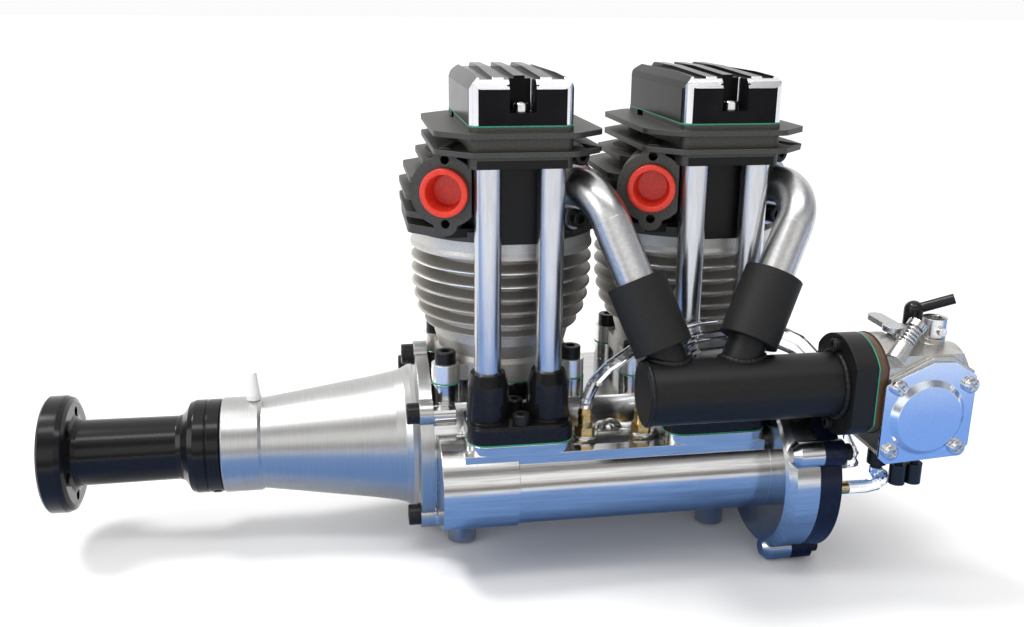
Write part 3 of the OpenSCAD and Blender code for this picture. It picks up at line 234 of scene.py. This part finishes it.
def surface(name, dark, light, rough, metallic=0.0, scale=900, stretch=(1, 1, 1), bump=0.1, depth=0.0001,
            edge=0.0003, specular=0.5):
    """One grain for the colour and the bump, and roughness (from, to) in broad patches."""
    m = Mat(name, Metallic=metallic, Specular_IOR_Level=specular)
    n = m.noise(scale, stretch)
    m.color(m.grain(n, dark, light))
    m.patchy(*rough)
    m.bump(n, bump, depth, edge)
    return m.material


def grey(value):
    return (value, value, value)


# a grain drawn out into a lathe's rings round X
LATHE, RINGS, FINE_RINGS = 60, (120, 1.5, 1.5), (150, 1.5, 1.5)
# sheen of the black finishes, below the shader's own
DIM = 0.25

MATS = {
    "crankcase": surface("polished_billet", grey(0.50), (0.66, 0.66, 0.65), (0.13, 0.22), 1.0, 90,
                         (0.6, 14, 14), bump=0.05, depth=0.00004, edge=0.0004),
    "nose_housing": surface("satin_nose", (0.42, 0.42, 0.415), (0.54, 0.54, 0.53), (0.26, 0.34), 1.0,
                            LATHE, FINE_RINGS, bump=0.06, depth=0.00005),
    "rear_cover": surface("navy_anodised", (0.006, 0.008, 0.022), (0.010, 0.014, 0.035), (0.2, 0.3), 0.3,
                          700, bump=0.03, edge=0.0005, specular=DIM),
    "black_anodised": surface("black_anodised", (0.004, 0.004, 0.005), (0.008, 0.008, 0.009), (0.14, 0.2),
                              0.0, LATHE, RINGS, bump=0.03, depth=0.00004, edge=0.0005, specular=DIM),
    "gloss_black": surface("gloss_black", (0.006, 0.006, 0.007), (0.010, 0.010, 0.011), (0.10, 0.18), 0.1,
                           500, bump=0.02, edge=0.0006, specular=DIM),
    "satin_black": surface("satin_black_paint", grey(0.005), grey(0.010), (0.36, 0.48), 0.0, 1500,
                           bump=0.12, edge=0.0006, specular=DIM),
    "black_steel": surface("black_oxide", grey(0.012), grey(0.03), (0.26, 0.4), 0.5, 1200,
                           bump=0.06, edge=0.0004, specular=DIM),
    "bright_screws": surface("nickel", (0.62, 0.61, 0.59), (0.8, 0.79, 0.77), (0.12, 0.24), 1.0,
                             bump=0.08),
    "steel": surface("ground_steel", (0.42, 0.42, 0.43), (0.58, 0.58, 0.59), (0.2, 0.32), 1.0,
                     bump=0.05),
    "tube": surface("anodised_tube", (0.52, 0.53, 0.55), (0.62, 0.63, 0.65), (0.22, 0.3), 1.0, 120,
                    (8, 8, 0.8), bump=0.03, depth=0.00004),
    "pipe": surface("brushed_pipe", grey(0.50), (0.62, 0.62, 0.61), (0.26, 0.36), 1.0, 700,
                    bump=0.05),
    "rubber": surface("epdm_rubber", grey(0.007), (0.016, 0.016, 0.0155), (0.5, 0.66), 0.0, 2600,
                      bump=0.35, depth=0.00015, edge=0.0007, specular=DIM),
    "insulator": surface("phenolic", (0.055, 0.028, 0.014), (0.12, 0.06, 0.03), (0.25, 0.4), 0.0, 300,
                         (6, 1, 1)),
    "carb_cast": surface("die_cast", (0.44, 0.43, 0.41), (0.62, 0.61, 0.58), (0.28, 0.42), 1.0, 1600,
                         bump=0.2, depth=0.00012, edge=0.0006),
    # the plate is zinc grey; its blue tint is a painted reflection of blue from below
    "carb_stamped": surface("zinc_plate_painted_blue", (0.66, 0.72, 0.82), (0.74, 0.80, 0.90), (0.10, 0.17), 1.0, 1400,
                            bump=0.05, edge=0.0004),
    "black_plastic": surface("black_plastic", grey(0.008), grey(0.014), (0.15, 0.25),
                             bump=0.05, edge=0.0005, specular=DIM),
    "ceramic": surface("ceramic", (0.80, 0.80, 0.77), (0.88, 0.88, 0.85), (0.08, 0.16), 0.0, 500,
                       bump=0.02),
    "red_plastic": surface("red_plastic", (0.56, 0.020, 0.008), (0.70, 0.040, 0.016), (0.28, 0.4),
                           bump=0.08, edge=0.0005),
}


# Materials with two finishes, told apart by place or by the way a face looks, with places in m

# the bright tips start at this radius, and below this height nearer in, by this share of the way down
FIN_TIP_R, FIN_TAPER_Z, FIN_TAPER = 0.0371, 0.067, 0.13
BLASTED_FROM_Z = 0.0835


def cylinder_material(name, cx):
    """Blasted casting whose fin tips and rims are bright from the lathe."""
    m = Mat(name, Metallic=0.72)
    n = m.noise(1500, detail=4)
    x = m.math("SUBTRACT", m.axis("X"), cx)
    y = m.axis("Y")
    r = m.math("SQRT", m.math("ADD", m.math("MULTIPLY", x, x), m.math("MULTIPLY", y, y)))
    z = m.axis("Z")
    # fin tips fall back towards the foot, so the bright limit follows the height
    fall = m.math("MULTIPLY", m.math("MAXIMUM", m.math("SUBTRACT", FIN_TAPER_Z, z), 0), FIN_TAPER)
    tip = m.math("GREATER_THAN", r, m.math("SUBTRACT", FIN_TIP_R, fall))
    band = m.math("GREATER_THAN", z, BLASTED_FROM_Z)
    bright = m.math("MULTIPLY", tip, m.math("SUBTRACT", 1, band))
    cast = m.grain(n, (0.42, 0.40, 0.37), (0.56, 0.54, 0.50))
    blasted = m.grain(n, (0.52, 0.51, 0.48), (0.66, 0.65, 0.62))
    m.color(m.mix(bright, m.mix(band, cast, blasted), (0.86, 0.85, 0.82)))
    m.rough(m.math("SUBTRACT", 0.48, m.math("MULTIPLY", bright, 0.26)))
    m.bump(n, 0.28, 0.00012)
    return m.material


MACHINED_BELOW_Z = 0.1247


def head_material():
    """Dark blasted casting, black on its machined front."""
    m = Mat("dark_casting", Metallic=0.75)
    n = m.noise(1700, detail=4)
    cast = m.grain(n, (0.055, 0.053, 0.048), (0.095, 0.092, 0.084))
    front = m.math("MULTIPLY", m.math("LESS_THAN", m.normal_axis("Y"), -0.97),
                   m.math("LESS_THAN", m.axis("Z"), MACHINED_BELOW_Z))
    m.color(m.mix(front, cast, (0.012, 0.012, 0.012)))
    m.rough(m.math("SUBTRACT", 0.5, m.math("MULTIPLY", front, 0.14)))
    m.bump(n, 0.24, 0.00012, 0.0004)
    return m.material


NOSE_BEFORE_X = 0.1


def barb_material():
    """Turned brass at the back, a milky plastic nipple on the nose."""
    m = Mat("brass_and_nipple")
    n = m.noise(700)
    nose = m.math("LESS_THAN", m.axis("X"), NOSE_BEFORE_X)
    m.color(m.mix(nose, m.grain(n, (0.52, 0.36, 0.14), (0.78, 0.58, 0.28)), (0.80, 0.81, 0.80)))
    m.metal_but(nose)
    m.patchy(0.16, 0.32)
    m.bump(n, 0.08)
    return m.material


# rib tops above this height carry a painted sheen
RIB_TOPS_FROM_Z = 0.1545


def cover_material():
    """Black anodised, with a painted highlight on the front corners and the front edge of the top, which
    are bright metal, and a painted sheen on the rib tops.
    """
    m = Mat("black_painted_highlights", Specular_IOR_Level=0.06)
    n = m.noise(60, (1.5, 40, 1.5))
    nx, ny, nz = (m.normal_axis(k) for k in "XYZ")
    # painted highlight: the corners and the top edge that face the front are bright metal
    corner = m.math("MULTIPLY", m.math("LESS_THAN", ny, -0.3),
                    m.math("GREATER_THAN", m.math("ABSOLUTE", nx), 0.3))
    edge = m.math("MULTIPLY", m.math("LESS_THAN", ny, -0.6), m.math("GREATER_THAN", nz, 0.3))
    bright = m.math("MAXIMUM", corner, edge)
    # painted sheen: the flat rib tops are a lighter grey than the black
    top = m.math("MULTIPLY", m.math("GREATER_THAN", nz, 0.9),
                 m.math("GREATER_THAN", m.axis("Z"), RIB_TOPS_FROM_Z))
    black = m.grain(n, (0.004, 0.004, 0.005), (0.008, 0.008, 0.009))
    m.color(m.mix(bright, m.mix(top, black, grey(0.030)), (0.80, 0.80, 0.82)))
    m.link(bright, m.shader.inputs["Metallic"])
    m.patchy(0.15, 0.24)
    m.bump(n, 0.04, 0.00004)
    return m.material


CAPS_BELOW_Z = 0.0165


def adjuster_material():
    """Plated screws, black caps on the needles below the body."""
    m = Mat("plated_and_caps")
    n = m.noise(900)
    cap = m.math("LESS_THAN", m.axis("Z"), CAPS_BELOW_Z)
    m.color(m.mix(cap, m.grain(n, (0.50, 0.49, 0.48), (0.70, 0.69, 0.68)), grey(0.006)))
    m.metal_but(cap)
    m.patchy(0.14, 0.26)
    m.bump(n, 0.08)
    return m.material


BROWN_FROM_X = 0.3125


def gasket_material():
    """Green fibre, dark brown in the outer one at the carburettor."""
    m = Mat("gasket_fibre")
    n = m.noise(2200)
    outer = m.math("GREATER_THAN", m.axis("X"), BROWN_FROM_X)
    m.color(m.mix(outer, m.grain(n, (0.008, 0.20, 0.115), (0.02, 0.34, 0.21)), (0.035, 0.02, 0.012)))
    m.patchy(0.45, 0.6)
    m.bump(n, 0.2)
    return m.material


def clear_material():
    """Clear plastic tube."""
    m = Mat("clear_tube", Transmission_Weight=1.0, IOR=1.38, Roughness=0.04)
    n = m.noise(120, detail=2)
    m.color(m.grain(n, (0.90, 0.93, 0.96), (0.97, 0.98, 1.0)))
    m.bump(n, 0.05, 0.0001, 0)
    return m.material


MATS["cover"] = cover_material()
MATS["adjusters"] = adjuster_material()
MATS["brass"] = barb_material()
MATS["gasket"] = gasket_material()
MATS["clear_tube"] = clear_material()
MATS["head"] = head_material()
for end, cx in CYL_X.items():
    MATS[end + "_cylinder"] = cylinder_material("blasted_" + end, cx * MM)


# Materials of the CAD nodes; a node that isn't named here is steel

USES = {
    "crankcase": ["crankcase"],
    "nose_housing": ["nose_housing"],
    "rear_cover": ["rear_cover"],
    "black_anodised": ["prop_hub", "magnet_ring"],
    "gloss_black": ["front_rocker_cover", "rear_rocker_cover", "front_lifter_block", "rear_lifter_block"],
    "satin_black": ["intake_manifold"],
    "black_steel": ["socket_screws_m5", "socket_screws_m4"],
    "bright_screws": ["rocker_cover_screws", "carb_screws", "choke_shaft"],
    "adjusters": ["carb_adjusters"],
    "tube": ["pushrod_tubes"],
    "pipe": ["front_intake_pipe", "rear_intake_pipe"],
    "rubber": ["intake_hoses"],
    "insulator": ["carb_insulator"],
    "carb_cast": ["carb_body"],
    "carb_stamped": ["carb_cover"],
    "black_plastic": ["fuel_elbow"],
    "brass": ["breather_barbs"],
    "ceramic": ["spark_plugs"],
    "gasket": ["gaskets"],
    "red_plastic": ["front_exhaust_plug", "rear_exhaust_plug"],
    "clear_tube": ["breather_hoses", "pulse_hose"],
    "head": ["front_head", "rear_head"],
    "front_cylinder": ["front_cylinder"],
    "rear_cylinder": ["rear_cylinder"],
}
finish_of = {node: key for key, names in USES.items() for node in names}
for name, obj in nodes.items():
    material = MATS[finish_of.get(name, "steel")]
    if not obj.material_slots:
        obj.data.materials.append(material)
    for slot in obj.material_slots:
        slot.material = material


# Meshes for the pieces that replace or complete the CAD solids

def angles(steps):
    """Angles evenly round a circle."""
    return [2 * math.pi * k / steps for k in range(steps)]


def across(along):
    """Two directions square to the given unit direction and to each other."""
    side = along.orthogonal().normalized()
    return side, along.cross(side)


def mesh_of(name, bm, sharp=None):
    """Mesh with its normals outward; where sharp is given, smooth but for edges over that many degrees."""
    bmesh.ops.recalc_face_normals(bm, faces=bm.faces)
    if sharp is not None:
        for face in bm.faces:
            face.smooth = True
        for edge in bm.edges:
            edge.smooth = edge.calc_face_angle() < math.radians(sharp)
    mesh = bpy.data.meshes.new(name)
    bm.to_mesh(mesh)
    bm.free()
    return mesh


def new_piece(name, mesh, material, body="engine"):
    piece = bpy.data.objects.new(name, mesh)
    scene.collection.objects.link(piece)
    mesh.materials.clear()
    mesh.materials.append(material)
    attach(piece, body)
    return piece


def prism(name, outline, axis, lo, hi):
    """Closed solid of a flat outline, pushed from lo to hi along an axis; all in mm."""
    def place(a, b, c):
        point = {"X": (c, a, b), "Y": (a, c, b), "Z": (a, b, c)}[axis]
        return Vector(point) * MM
    bm = bmesh.new()
    rings = [[bm.verts.new(place(a, b, c)) for a, b in outline] for c in (lo, hi)]
    bm.faces.new(rings[0])
    bm.faces.new(rings[1])
    for i in range(len(outline)):
        j = (i + 1) % len(outline)
        bm.faces.new((rings[0][i], rings[0][j], rings[1][j], rings[1][i]))
    solid = bpy.data.objects.new(name, mesh_of(name, bm))
    scene.collection.objects.link(solid)
    return solid


def carve(solid, operation, tool):
    """Apply one boolean and delete its tool."""
    boolean = solid.modifiers.new("carve", "BOOLEAN")
    boolean.operation = operation
    boolean.object = tool
    boolean.solver = "EXACT"
    mesh = bpy.data.meshes.new_from_object(solid.evaluated_get(bpy.context.evaluated_depsgraph_get()))
    solid.modifiers.clear()
    solid.data = mesh
    bpy.data.objects.remove(tool)


def rounded_rect(x0, y0, x1, y1, r, steps=6):
    out = []
    left, right, low, high = x0 + r, x1 - r, y0 + r, y1 - r
    for cx, cy, start in ((right, high, 0), (left, high, 90), (left, low, 180), (right, low, 270)):
        for k in range(steps + 1):
            a = math.radians(start + 90 * k / steps)
            out.append((cx + r * math.cos(a), cy + r * math.sin(a)))
    return out


def circle(cx, cy, r, steps=24):
    return [(cx + r * math.cos(a), cy + r * math.sin(a)) for a in angles(steps)]


def tube_along(name, path, radii, steps=8, closed=False):
    """Mesh tube through the points, one radius a point."""
    bm = bmesh.new()
    n = len(path)
    rings = []
    side = None
    for i, point in enumerate(path):
        before = path[i - 1] if closed or i > 0 else path[i]
        after = path[(i + 1) % n] if closed or i < n - 1 else path[i]
        along = (after - before).normalized()
        if side is None:
            side = along.orthogonal().normalized()
        side = (side - along * side.dot(along)).normalized()
        other = along.cross(side)
        rings.append([bm.verts.new(point + (side * math.cos(a) + other * math.sin(a)) * radii[i])
                      for a in angles(steps)])
    for i in range(n if closed else n - 1):
        a, b = rings[i], rings[(i + 1) % n]
        turn = 0
        if closed and i == n - 1:
            # the last ring meets the first one at its nearest corner
            turn = min(range(steps), key=lambda q: (a[0].co - b[q].co).length)
        for k in range(steps):
            bm.faces.new((a[k], a[(k + 1) % steps], b[(k + 1 + turn) % steps], b[(k + turn) % steps]))
    if not closed:
        bm.faces.new(rings[0][::-1])
        bm.faces.new(rings[-1])
    return mesh_of(name, bm, sharp=180)


def revolve(name, profile, origin, axis, steps=64):
    """Solid of revolution: profile points are (radius, distance along the axis), in mm."""
    axis = Vector(axis).normalized()
    side, other = across(axis)
    bm = bmesh.new()
    rings = []
    for r, distance in profile:
        mid = Vector(origin) + axis * distance
        if r == 0:
            rings.append([bm.verts.new(mid * MM)])
            continue
        rings.append([bm.verts.new((mid + (side * math.cos(a) + other * math.sin(a)) * r) * MM)
                      for a in angles(steps)])
    for a, b in zip(rings, rings[1:]):
        for k in range(steps):
            j = (k + 1) % steps
            if len(a) == 1:
                bm.faces.new((a[0], b[j], b[k]))
            elif len(b) == 1:
                bm.faces.new((a[k], a[j], b[0]))
            else:
                bm.faces.new((a[k], a[j], b[j], b[k]))
    return mesh_of(name, bm, sharp=35)


# Rocker covers, in mm

# half width, front and back
COVER_W, COVER_Y0, COVER_Y1 = 19, -50.6, 25
# foot and top
COVER_Z, COVER_TOP = 137, 155.2
COVER_CORNER, COVER_SIDE_WALL, COVER_END_WALL, COVER_ROOF = 4.2, 2.2, 2.4, 4.6
CAVITY_CORNER = 2.5
RIB_PITCH, GROOVE = 8.6, 4.6
# half widths of the block that a screw goes through and of the pocket over it
BLOCK_W, POCKET_W = 6.4, 4.8
# the block ends this far below the top, the pocket and the screw's hole so far above the foot
BLOCK_DROP, POCKET_RISE, SCREW_HOLE_RISE = 4.0, 4.4, 9
SCREW_HOLE_R = 1.6
# where the screw, its block and the pocket over it are along Y, at the front and at the back
SCREW_PLACES = (
    (-45.5, (COVER_Y0 + 0.6, COVER_Y0 + 10.9), (COVER_Y0 - 4, -41.3)),
    (21, (15.2, COVER_Y1 - 1), (16.8, COVER_Y1 + 4)),
)


def rocker_cover(name, cx):
    """Milled cover with a ribbed top, chamfered round its rim, open below and at both screw pockets."""
    w, y0, y1, z0, top = COVER_W, COVER_Y0, COVER_Y1, COVER_Z, COVER_TOP
    cover = prism(name, rounded_rect(cx - w, y0, cx + w, y1, COVER_CORNER), "Z", z0, top)
    # chamfers at both ends, seen from the side
    side = [(y0 - 1, z0 - 1), (y1 + 1, z0 - 1), (y1 + 1, top - 7), (y1 - 2, top - 2.6), (y1 - 8, top + 0.1),
            (-5, top + 0.1), (y0 + 3.1, top - 1.7), (y0 + 1.4, top - 3.2), (y0 - 1, top - 7.4)]
    carve(cover, "INTERSECT", prism("side", side, "X", cx - w - 2, cx + w + 2))
    # chamfers along both sides, seen from the front
    shoulder = [(-w - 1, z0 - 1), (w + 1, z0 - 1), (w + 1, top - 8), (w - 1.1, top - 3.6),
                (w - 3.6, top - 1.0), (w - 7, top + 0.2), (-w + 7, top + 0.2), (-w + 3.6, top - 1.0),
                (-w + 1.1, top - 3.6), (-w - 1, top - 8)]
    carve(cover, "INTERSECT", prism("shoulder", [(cx + a, b) for a, b in shoulder], "Y", y0 - 2, y1 + 2))
    inner_w = w - COVER_SIDE_WALL
    front, back = y0 + COVER_END_WALL, y1 - COVER_END_WALL
    cavity = rounded_rect(cx - inner_w, front, cx + inner_w, back, CAVITY_CORNER)
    carve(cover, "DIFFERENCE", prism("cavity", cavity, "Z", z0 - 1, top - COVER_ROOF))
    for screw_y, block_y, pocket_y in SCREW_PLACES:
        block = rounded_rect(cx - BLOCK_W, block_y[0], cx + BLOCK_W, block_y[1], 1)
        carve(cover, "UNION", prism("block", block, "Z", z0, top - BLOCK_DROP))
        hole = circle(cx, screw_y, SCREW_HOLE_R)
        carve(cover, "DIFFERENCE", prism("hole", hole, "Z", z0 - 1, z0 + SCREW_HOLE_RISE))
        pocket = rounded_rect(cx - POCKET_W, pocket_y[0], cx + POCKET_W, pocket_y[1], 0.8)
        carve(cover, "DIFFERENCE", prism("pocket", pocket, "Z", z0 + POCKET_RISE, top + 2))
    # a groove opens at the back and stops short of the front
    groove = [(y0 + 2.4, top - 2.6), (-5, top - 1.5), (y1 - 8, top - 1.5), (y1 - 2, top - 4.1),
              (y1 + 2, top - 8), (y1 + 2, top + 2), (y0 + 2.4, top + 2)]
    for k in (-1.5, -0.5, 0.5, 1.5):
        mid = cx + k * RIB_PITCH
        carve(cover, "DIFFERENCE", prism("groove", groove, "X", mid - GROOVE / 2, mid + GROOVE / 2))
    cover.data.materials.clear()
    cover.data.materials.append(MATS["cover"])
    return cover


for end, cx in CYL_X.items():
    cover = rocker_cover(end + "_cover_milled", cx)
    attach(cover, "engine")
    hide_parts(end + "_rocker_cover")


# Valve springs, in m

SPRING_WIRE, SPRING_R, SPRING_TURNS, SPRING_STEPS = 0.0008, 0.0056, 4.5, 20
# the pitch eases off by this share at both ends
SPRING_EASE = 0.06


def valve_spring(node):
    """Round wire spring with closed ends, as tall as its CAD node."""
    lo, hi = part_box(node)
    mid = (Vector(lo) + Vector(hi)) / 2
    z0, z1 = lo[2] + SPRING_WIRE, hi[2] - SPRING_WIRE
    count = int(SPRING_TURNS * SPRING_STEPS)
    path = []
    for k in range(count + 1):
        a = 2 * math.pi * k / SPRING_STEPS
        share = k / count
        share = share - SPRING_EASE * math.sin(2 * math.pi * share)
        x, y = mid.x + SPRING_R * math.cos(a), mid.y + SPRING_R * math.sin(a)
        path.append(Vector((x, y, z0 + (z1 - z0) * share)))
    spring = new_piece(node + "_wire", tube_along(node, path, [SPRING_WIRE] * len(path)), MATS["steel"])
    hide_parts(node)
    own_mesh(spring)


for end in CYL_X:
    for kind in ("exhaust", "intake"):
        valve_spring(f"{end}_{kind}_spring")


# Exhaust plugs: a hollow cup with a rounded collar, pushed in along the port; in mm

PORT_ANGLE = math.radians(20)
PORT_OUT = (-math.sin(PORT_ANGLE), -math.cos(PORT_ANGLE), 0)
PORT_BACK, PORT_Y, PORT_Z = 27, -41, 112.2
# radius and distance out of the port, from the middle of the inner end over the collar into the cup
PLUG = [(0, -8.9), (6.6, -8.9), (7.3, -8.2), (7.35, 0.3), (8.7, 0.3), (9.0, 0.6), (9.0, 2.4), (8.85, 2.75),
        (8.5, 2.9), (7.2, 2.9), (6.85, 2.75), (6.7, 2.3), (6.0, -5.6), (5.4, -6.2), (0, -6.4)]

for end, cx in CYL_X.items():
    cup = revolve(end + "_plug", PLUG, (cx - PORT_BACK, PORT_Y, PORT_Z), PORT_OUT)
    plug = new_piece(end + "_plug_moulded", cup, MATS["red_plastic"], "plug_" + end)
    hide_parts(end + "_exhaust_plug")


# Weld beads on the intake manifold, in mm

MAN_Y, MAN_Z, MAN_R, STUB_R = -75, 43, 12, 7.2
# foot of each stub on the manifold's middle line, and the corner of the pipe that it points at
STUBS = {"front": (241.5, (215.25, -46.07, 112.2)), "rear": (259.5, (295.36, -50.04, 112.2))}
END_CAP_X, FLANGE_X = 227.9, 300.4
BEAD_STEPS = 150
STUB_DROPS, RING_DROPS = 34, 38
# share of the bead's radius that a drop adds, and a small uneven wave on top
DROP_SWELL, UNEVEN, UNEVEN_PACE = 0.14, 0.05, 7.3


def bead(name, path, radius, drops):
    """Weld bead: a ring of overlapping drops."""
    radii = []
    for i in range(len(path)):
        drop = DROP_SWELL * abs(math.sin(math.pi * drops * i / len(path)))
        uneven = UNEVEN * math.sin(UNEVEN_PACE * i)
        radii.append(MM * radius * (1 + drop + uneven))
    new_piece(name, tube_along(name, path, radii, closed=True), MATS["satin_black"])


def stub_bead(name, foot_x, corner):
    """Bead where a slanting stub leaves the round manifold."""
    foot = Vector((foot_x, MAN_Y, MAN_Z))
    along = (Vector(corner) - foot).normalized()
    side, other = across(along)
    path = []
    for a in angles(BEAD_STEPS):
        off = (side * math.cos(a) + other * math.sin(a)) * STUB_R
        # the distance along the stub at which this line leaves the manifold solves a quadratic
        qa = along.y ** 2 + along.z ** 2
        qb = 2 * (off.y * along.y + off.z * along.z)
        qc = off.y ** 2 + off.z ** 2 - MAN_R ** 2
        root = math.sqrt(max(qb * qb - 4 * qa * qc, 0))
        path.append((foot + off + along * ((-qb + root) / (2 * qa))) * MM)
    bead(name, path, 1.15, STUB_DROPS)


def ring_bead(name, x, r, radius):
    """Bead round the manifold at one place along it."""
    path = [Vector((x, MAN_Y + r * math.cos(a), MAN_Z + r * math.sin(a))) * MM for a in angles(BEAD_STEPS)]
    bead(name, path, radius, RING_DROPS)


for end, (foot_x, corner) in STUBS.items():
    stub_bead(end + "_stub_weld", foot_x, corner)
ring_bead("end_cap_weld", END_CAP_X, MAN_R - 0.5, 0.9)
ring_bead("flange_weld", FLANGE_X, MAN_R + 0.3, 1.1)


# Floor and light

FLOOR_SIZE, FLOOR_GAP = 30, 0.0005


def plane(name, size, z, material):
    s = size / 2
    mesh = bpy.data.meshes.new(name)
    mesh.from_pydata([(-s, -s, z), (s, -s, z), (s, s, z), (-s, s, z)], [], [(0, 1, 2, 3)])
    mesh.materials.append(material)
    o = bpy.data.objects.new(name, mesh)
    scene.collection.objects.link(o)


def floor_material():
    """Pale floor whose part in front of the engine gives the metal a blue reflection."""
    m = Mat("floor_white", Roughness=0.92, Specular_IOR_Level=0.1)
    pale = m.grain(m.noise(3, detail=2), grey(0.86), grey(0.88))
    # blue from 0.27 m in front of the crank's line to 0.04 m in front, fading out at 0.44 m and at the line
    far, full, fade, line = 0.16, 0.33, 0.56, 0.6
    near = m.ramp(m.math("MULTIPLY_ADD", m.axis("Y"), 1.0, line),
                  [(far, grey(0)), (full, grey(1)), (fade, grey(1)), (line, grey(0))])
    glossy = m.new("ShaderNodeLightPath").outputs["Is Glossy Ray"]
    m.color(m.mix(m.math("MULTIPLY", near, glossy), pale, (0.16, 0.29, 0.58)))
    return m.material


plane("floor", FLOOR_SIZE, cad_lo.z - FLOOR_GAP, floor_material())


def shine(name, data, direction):
    """Put a light in the scene, turned along a direction."""
    light = bpy.data.objects.new(name, data)
    scene.collection.objects.link(light)
    light.rotation_mode = "QUATERNION"
    light.rotation_quaternion = Vector(direction).to_track_quat("-Z", "Y")
    return light


def area(name, place, target, width, height, energy):
    data = bpy.data.lights.new(name, "AREA")
    data.energy = energy
    data.shape = "RECTANGLE"
    data.size = width
    data.size_y = height
    light = shine(name, data, Vector(target) - Vector(place))
    light.location = place
    light.visible_camera = False


def sun(name, direction, strength, spread):
    data = bpy.data.lights.new(name, "SUN")
    data.energy = strength
    data.angle = math.radians(spread)
    shine(name, data, direction)


ENGINE_MIDDLE = (0.2, 0, 0.04)
area("left_softbox", (-0.75, -0.45, 0.55), ENGINE_MIDDLE, 0.45, 0.7, energy=2.6)
area("top_strip", (0.15, -0.35, 0.9), ENGINE_MIDDLE, 0.9, 0.16, energy=2.4)
sun("key_light", (0.42, -0.16, -0.9), strength=1.5, spread=16)


# light by the height of the direction: 0 is the horizon and below, 1 the zenith
WORLD_HEIGHTS = [(0.0, (0.10, 0.11, 0.14)), (0.10, (0.16, 0.14, 0.12)), (0.17, (0.46, 0.40, 0.33)),
                 (0.26, (0.98, 0.98, 0.98)), (0.52, (1.0, 1.0, 1.0)), (0.60, (0.30, 0.28, 0.27)),
                 (0.74, (0.22, 0.21, 0.21)), (0.84, (0.80, 0.80, 0.80)), (1.0, (0.95, 0.95, 0.95))]
WORLD_STRENGTH = 1.35


def studio_world():
    """Bands of light for the metal, dimmer at both sides and white behind; plain to the camera."""
    world = bpy.data.worlds.new("studio")
    scene.world = world
    world.use_nodes = True
    n = Nodes(world.node_tree)
    direction = n.new("ShaderNodeTexCoord").outputs["Generated"]
    x, y, z = (n.part(direction, k) for k in "XYZ")
    bands = n.ramp(z, WORLD_HEIGHTS)
    right = n.mix(n.span(x, 0, 0.75, 0.25, 0.8), bands, (0.20, 0.22, 0.26))
    left = n.mix(n.span(x, 0.7, 0, -0.9, -0.6), right, (0.60, 0.60, 0.61))
    whole = n.mix(n.span(y, 0, 1, 0.15, 0.5), left, grey(0.78))
    camera_ray = n.new("ShaderNodeLightPath").outputs["Is Camera Ray"]
    background = world.node_tree.nodes["Background"]
    n.link(n.mix(camera_ray, whole, grey(0.72)), background.inputs[0])
    background.inputs[1].default_value = WORLD_STRENGTH


studio_world()

scene.view_settings.view_transform = "Standard"
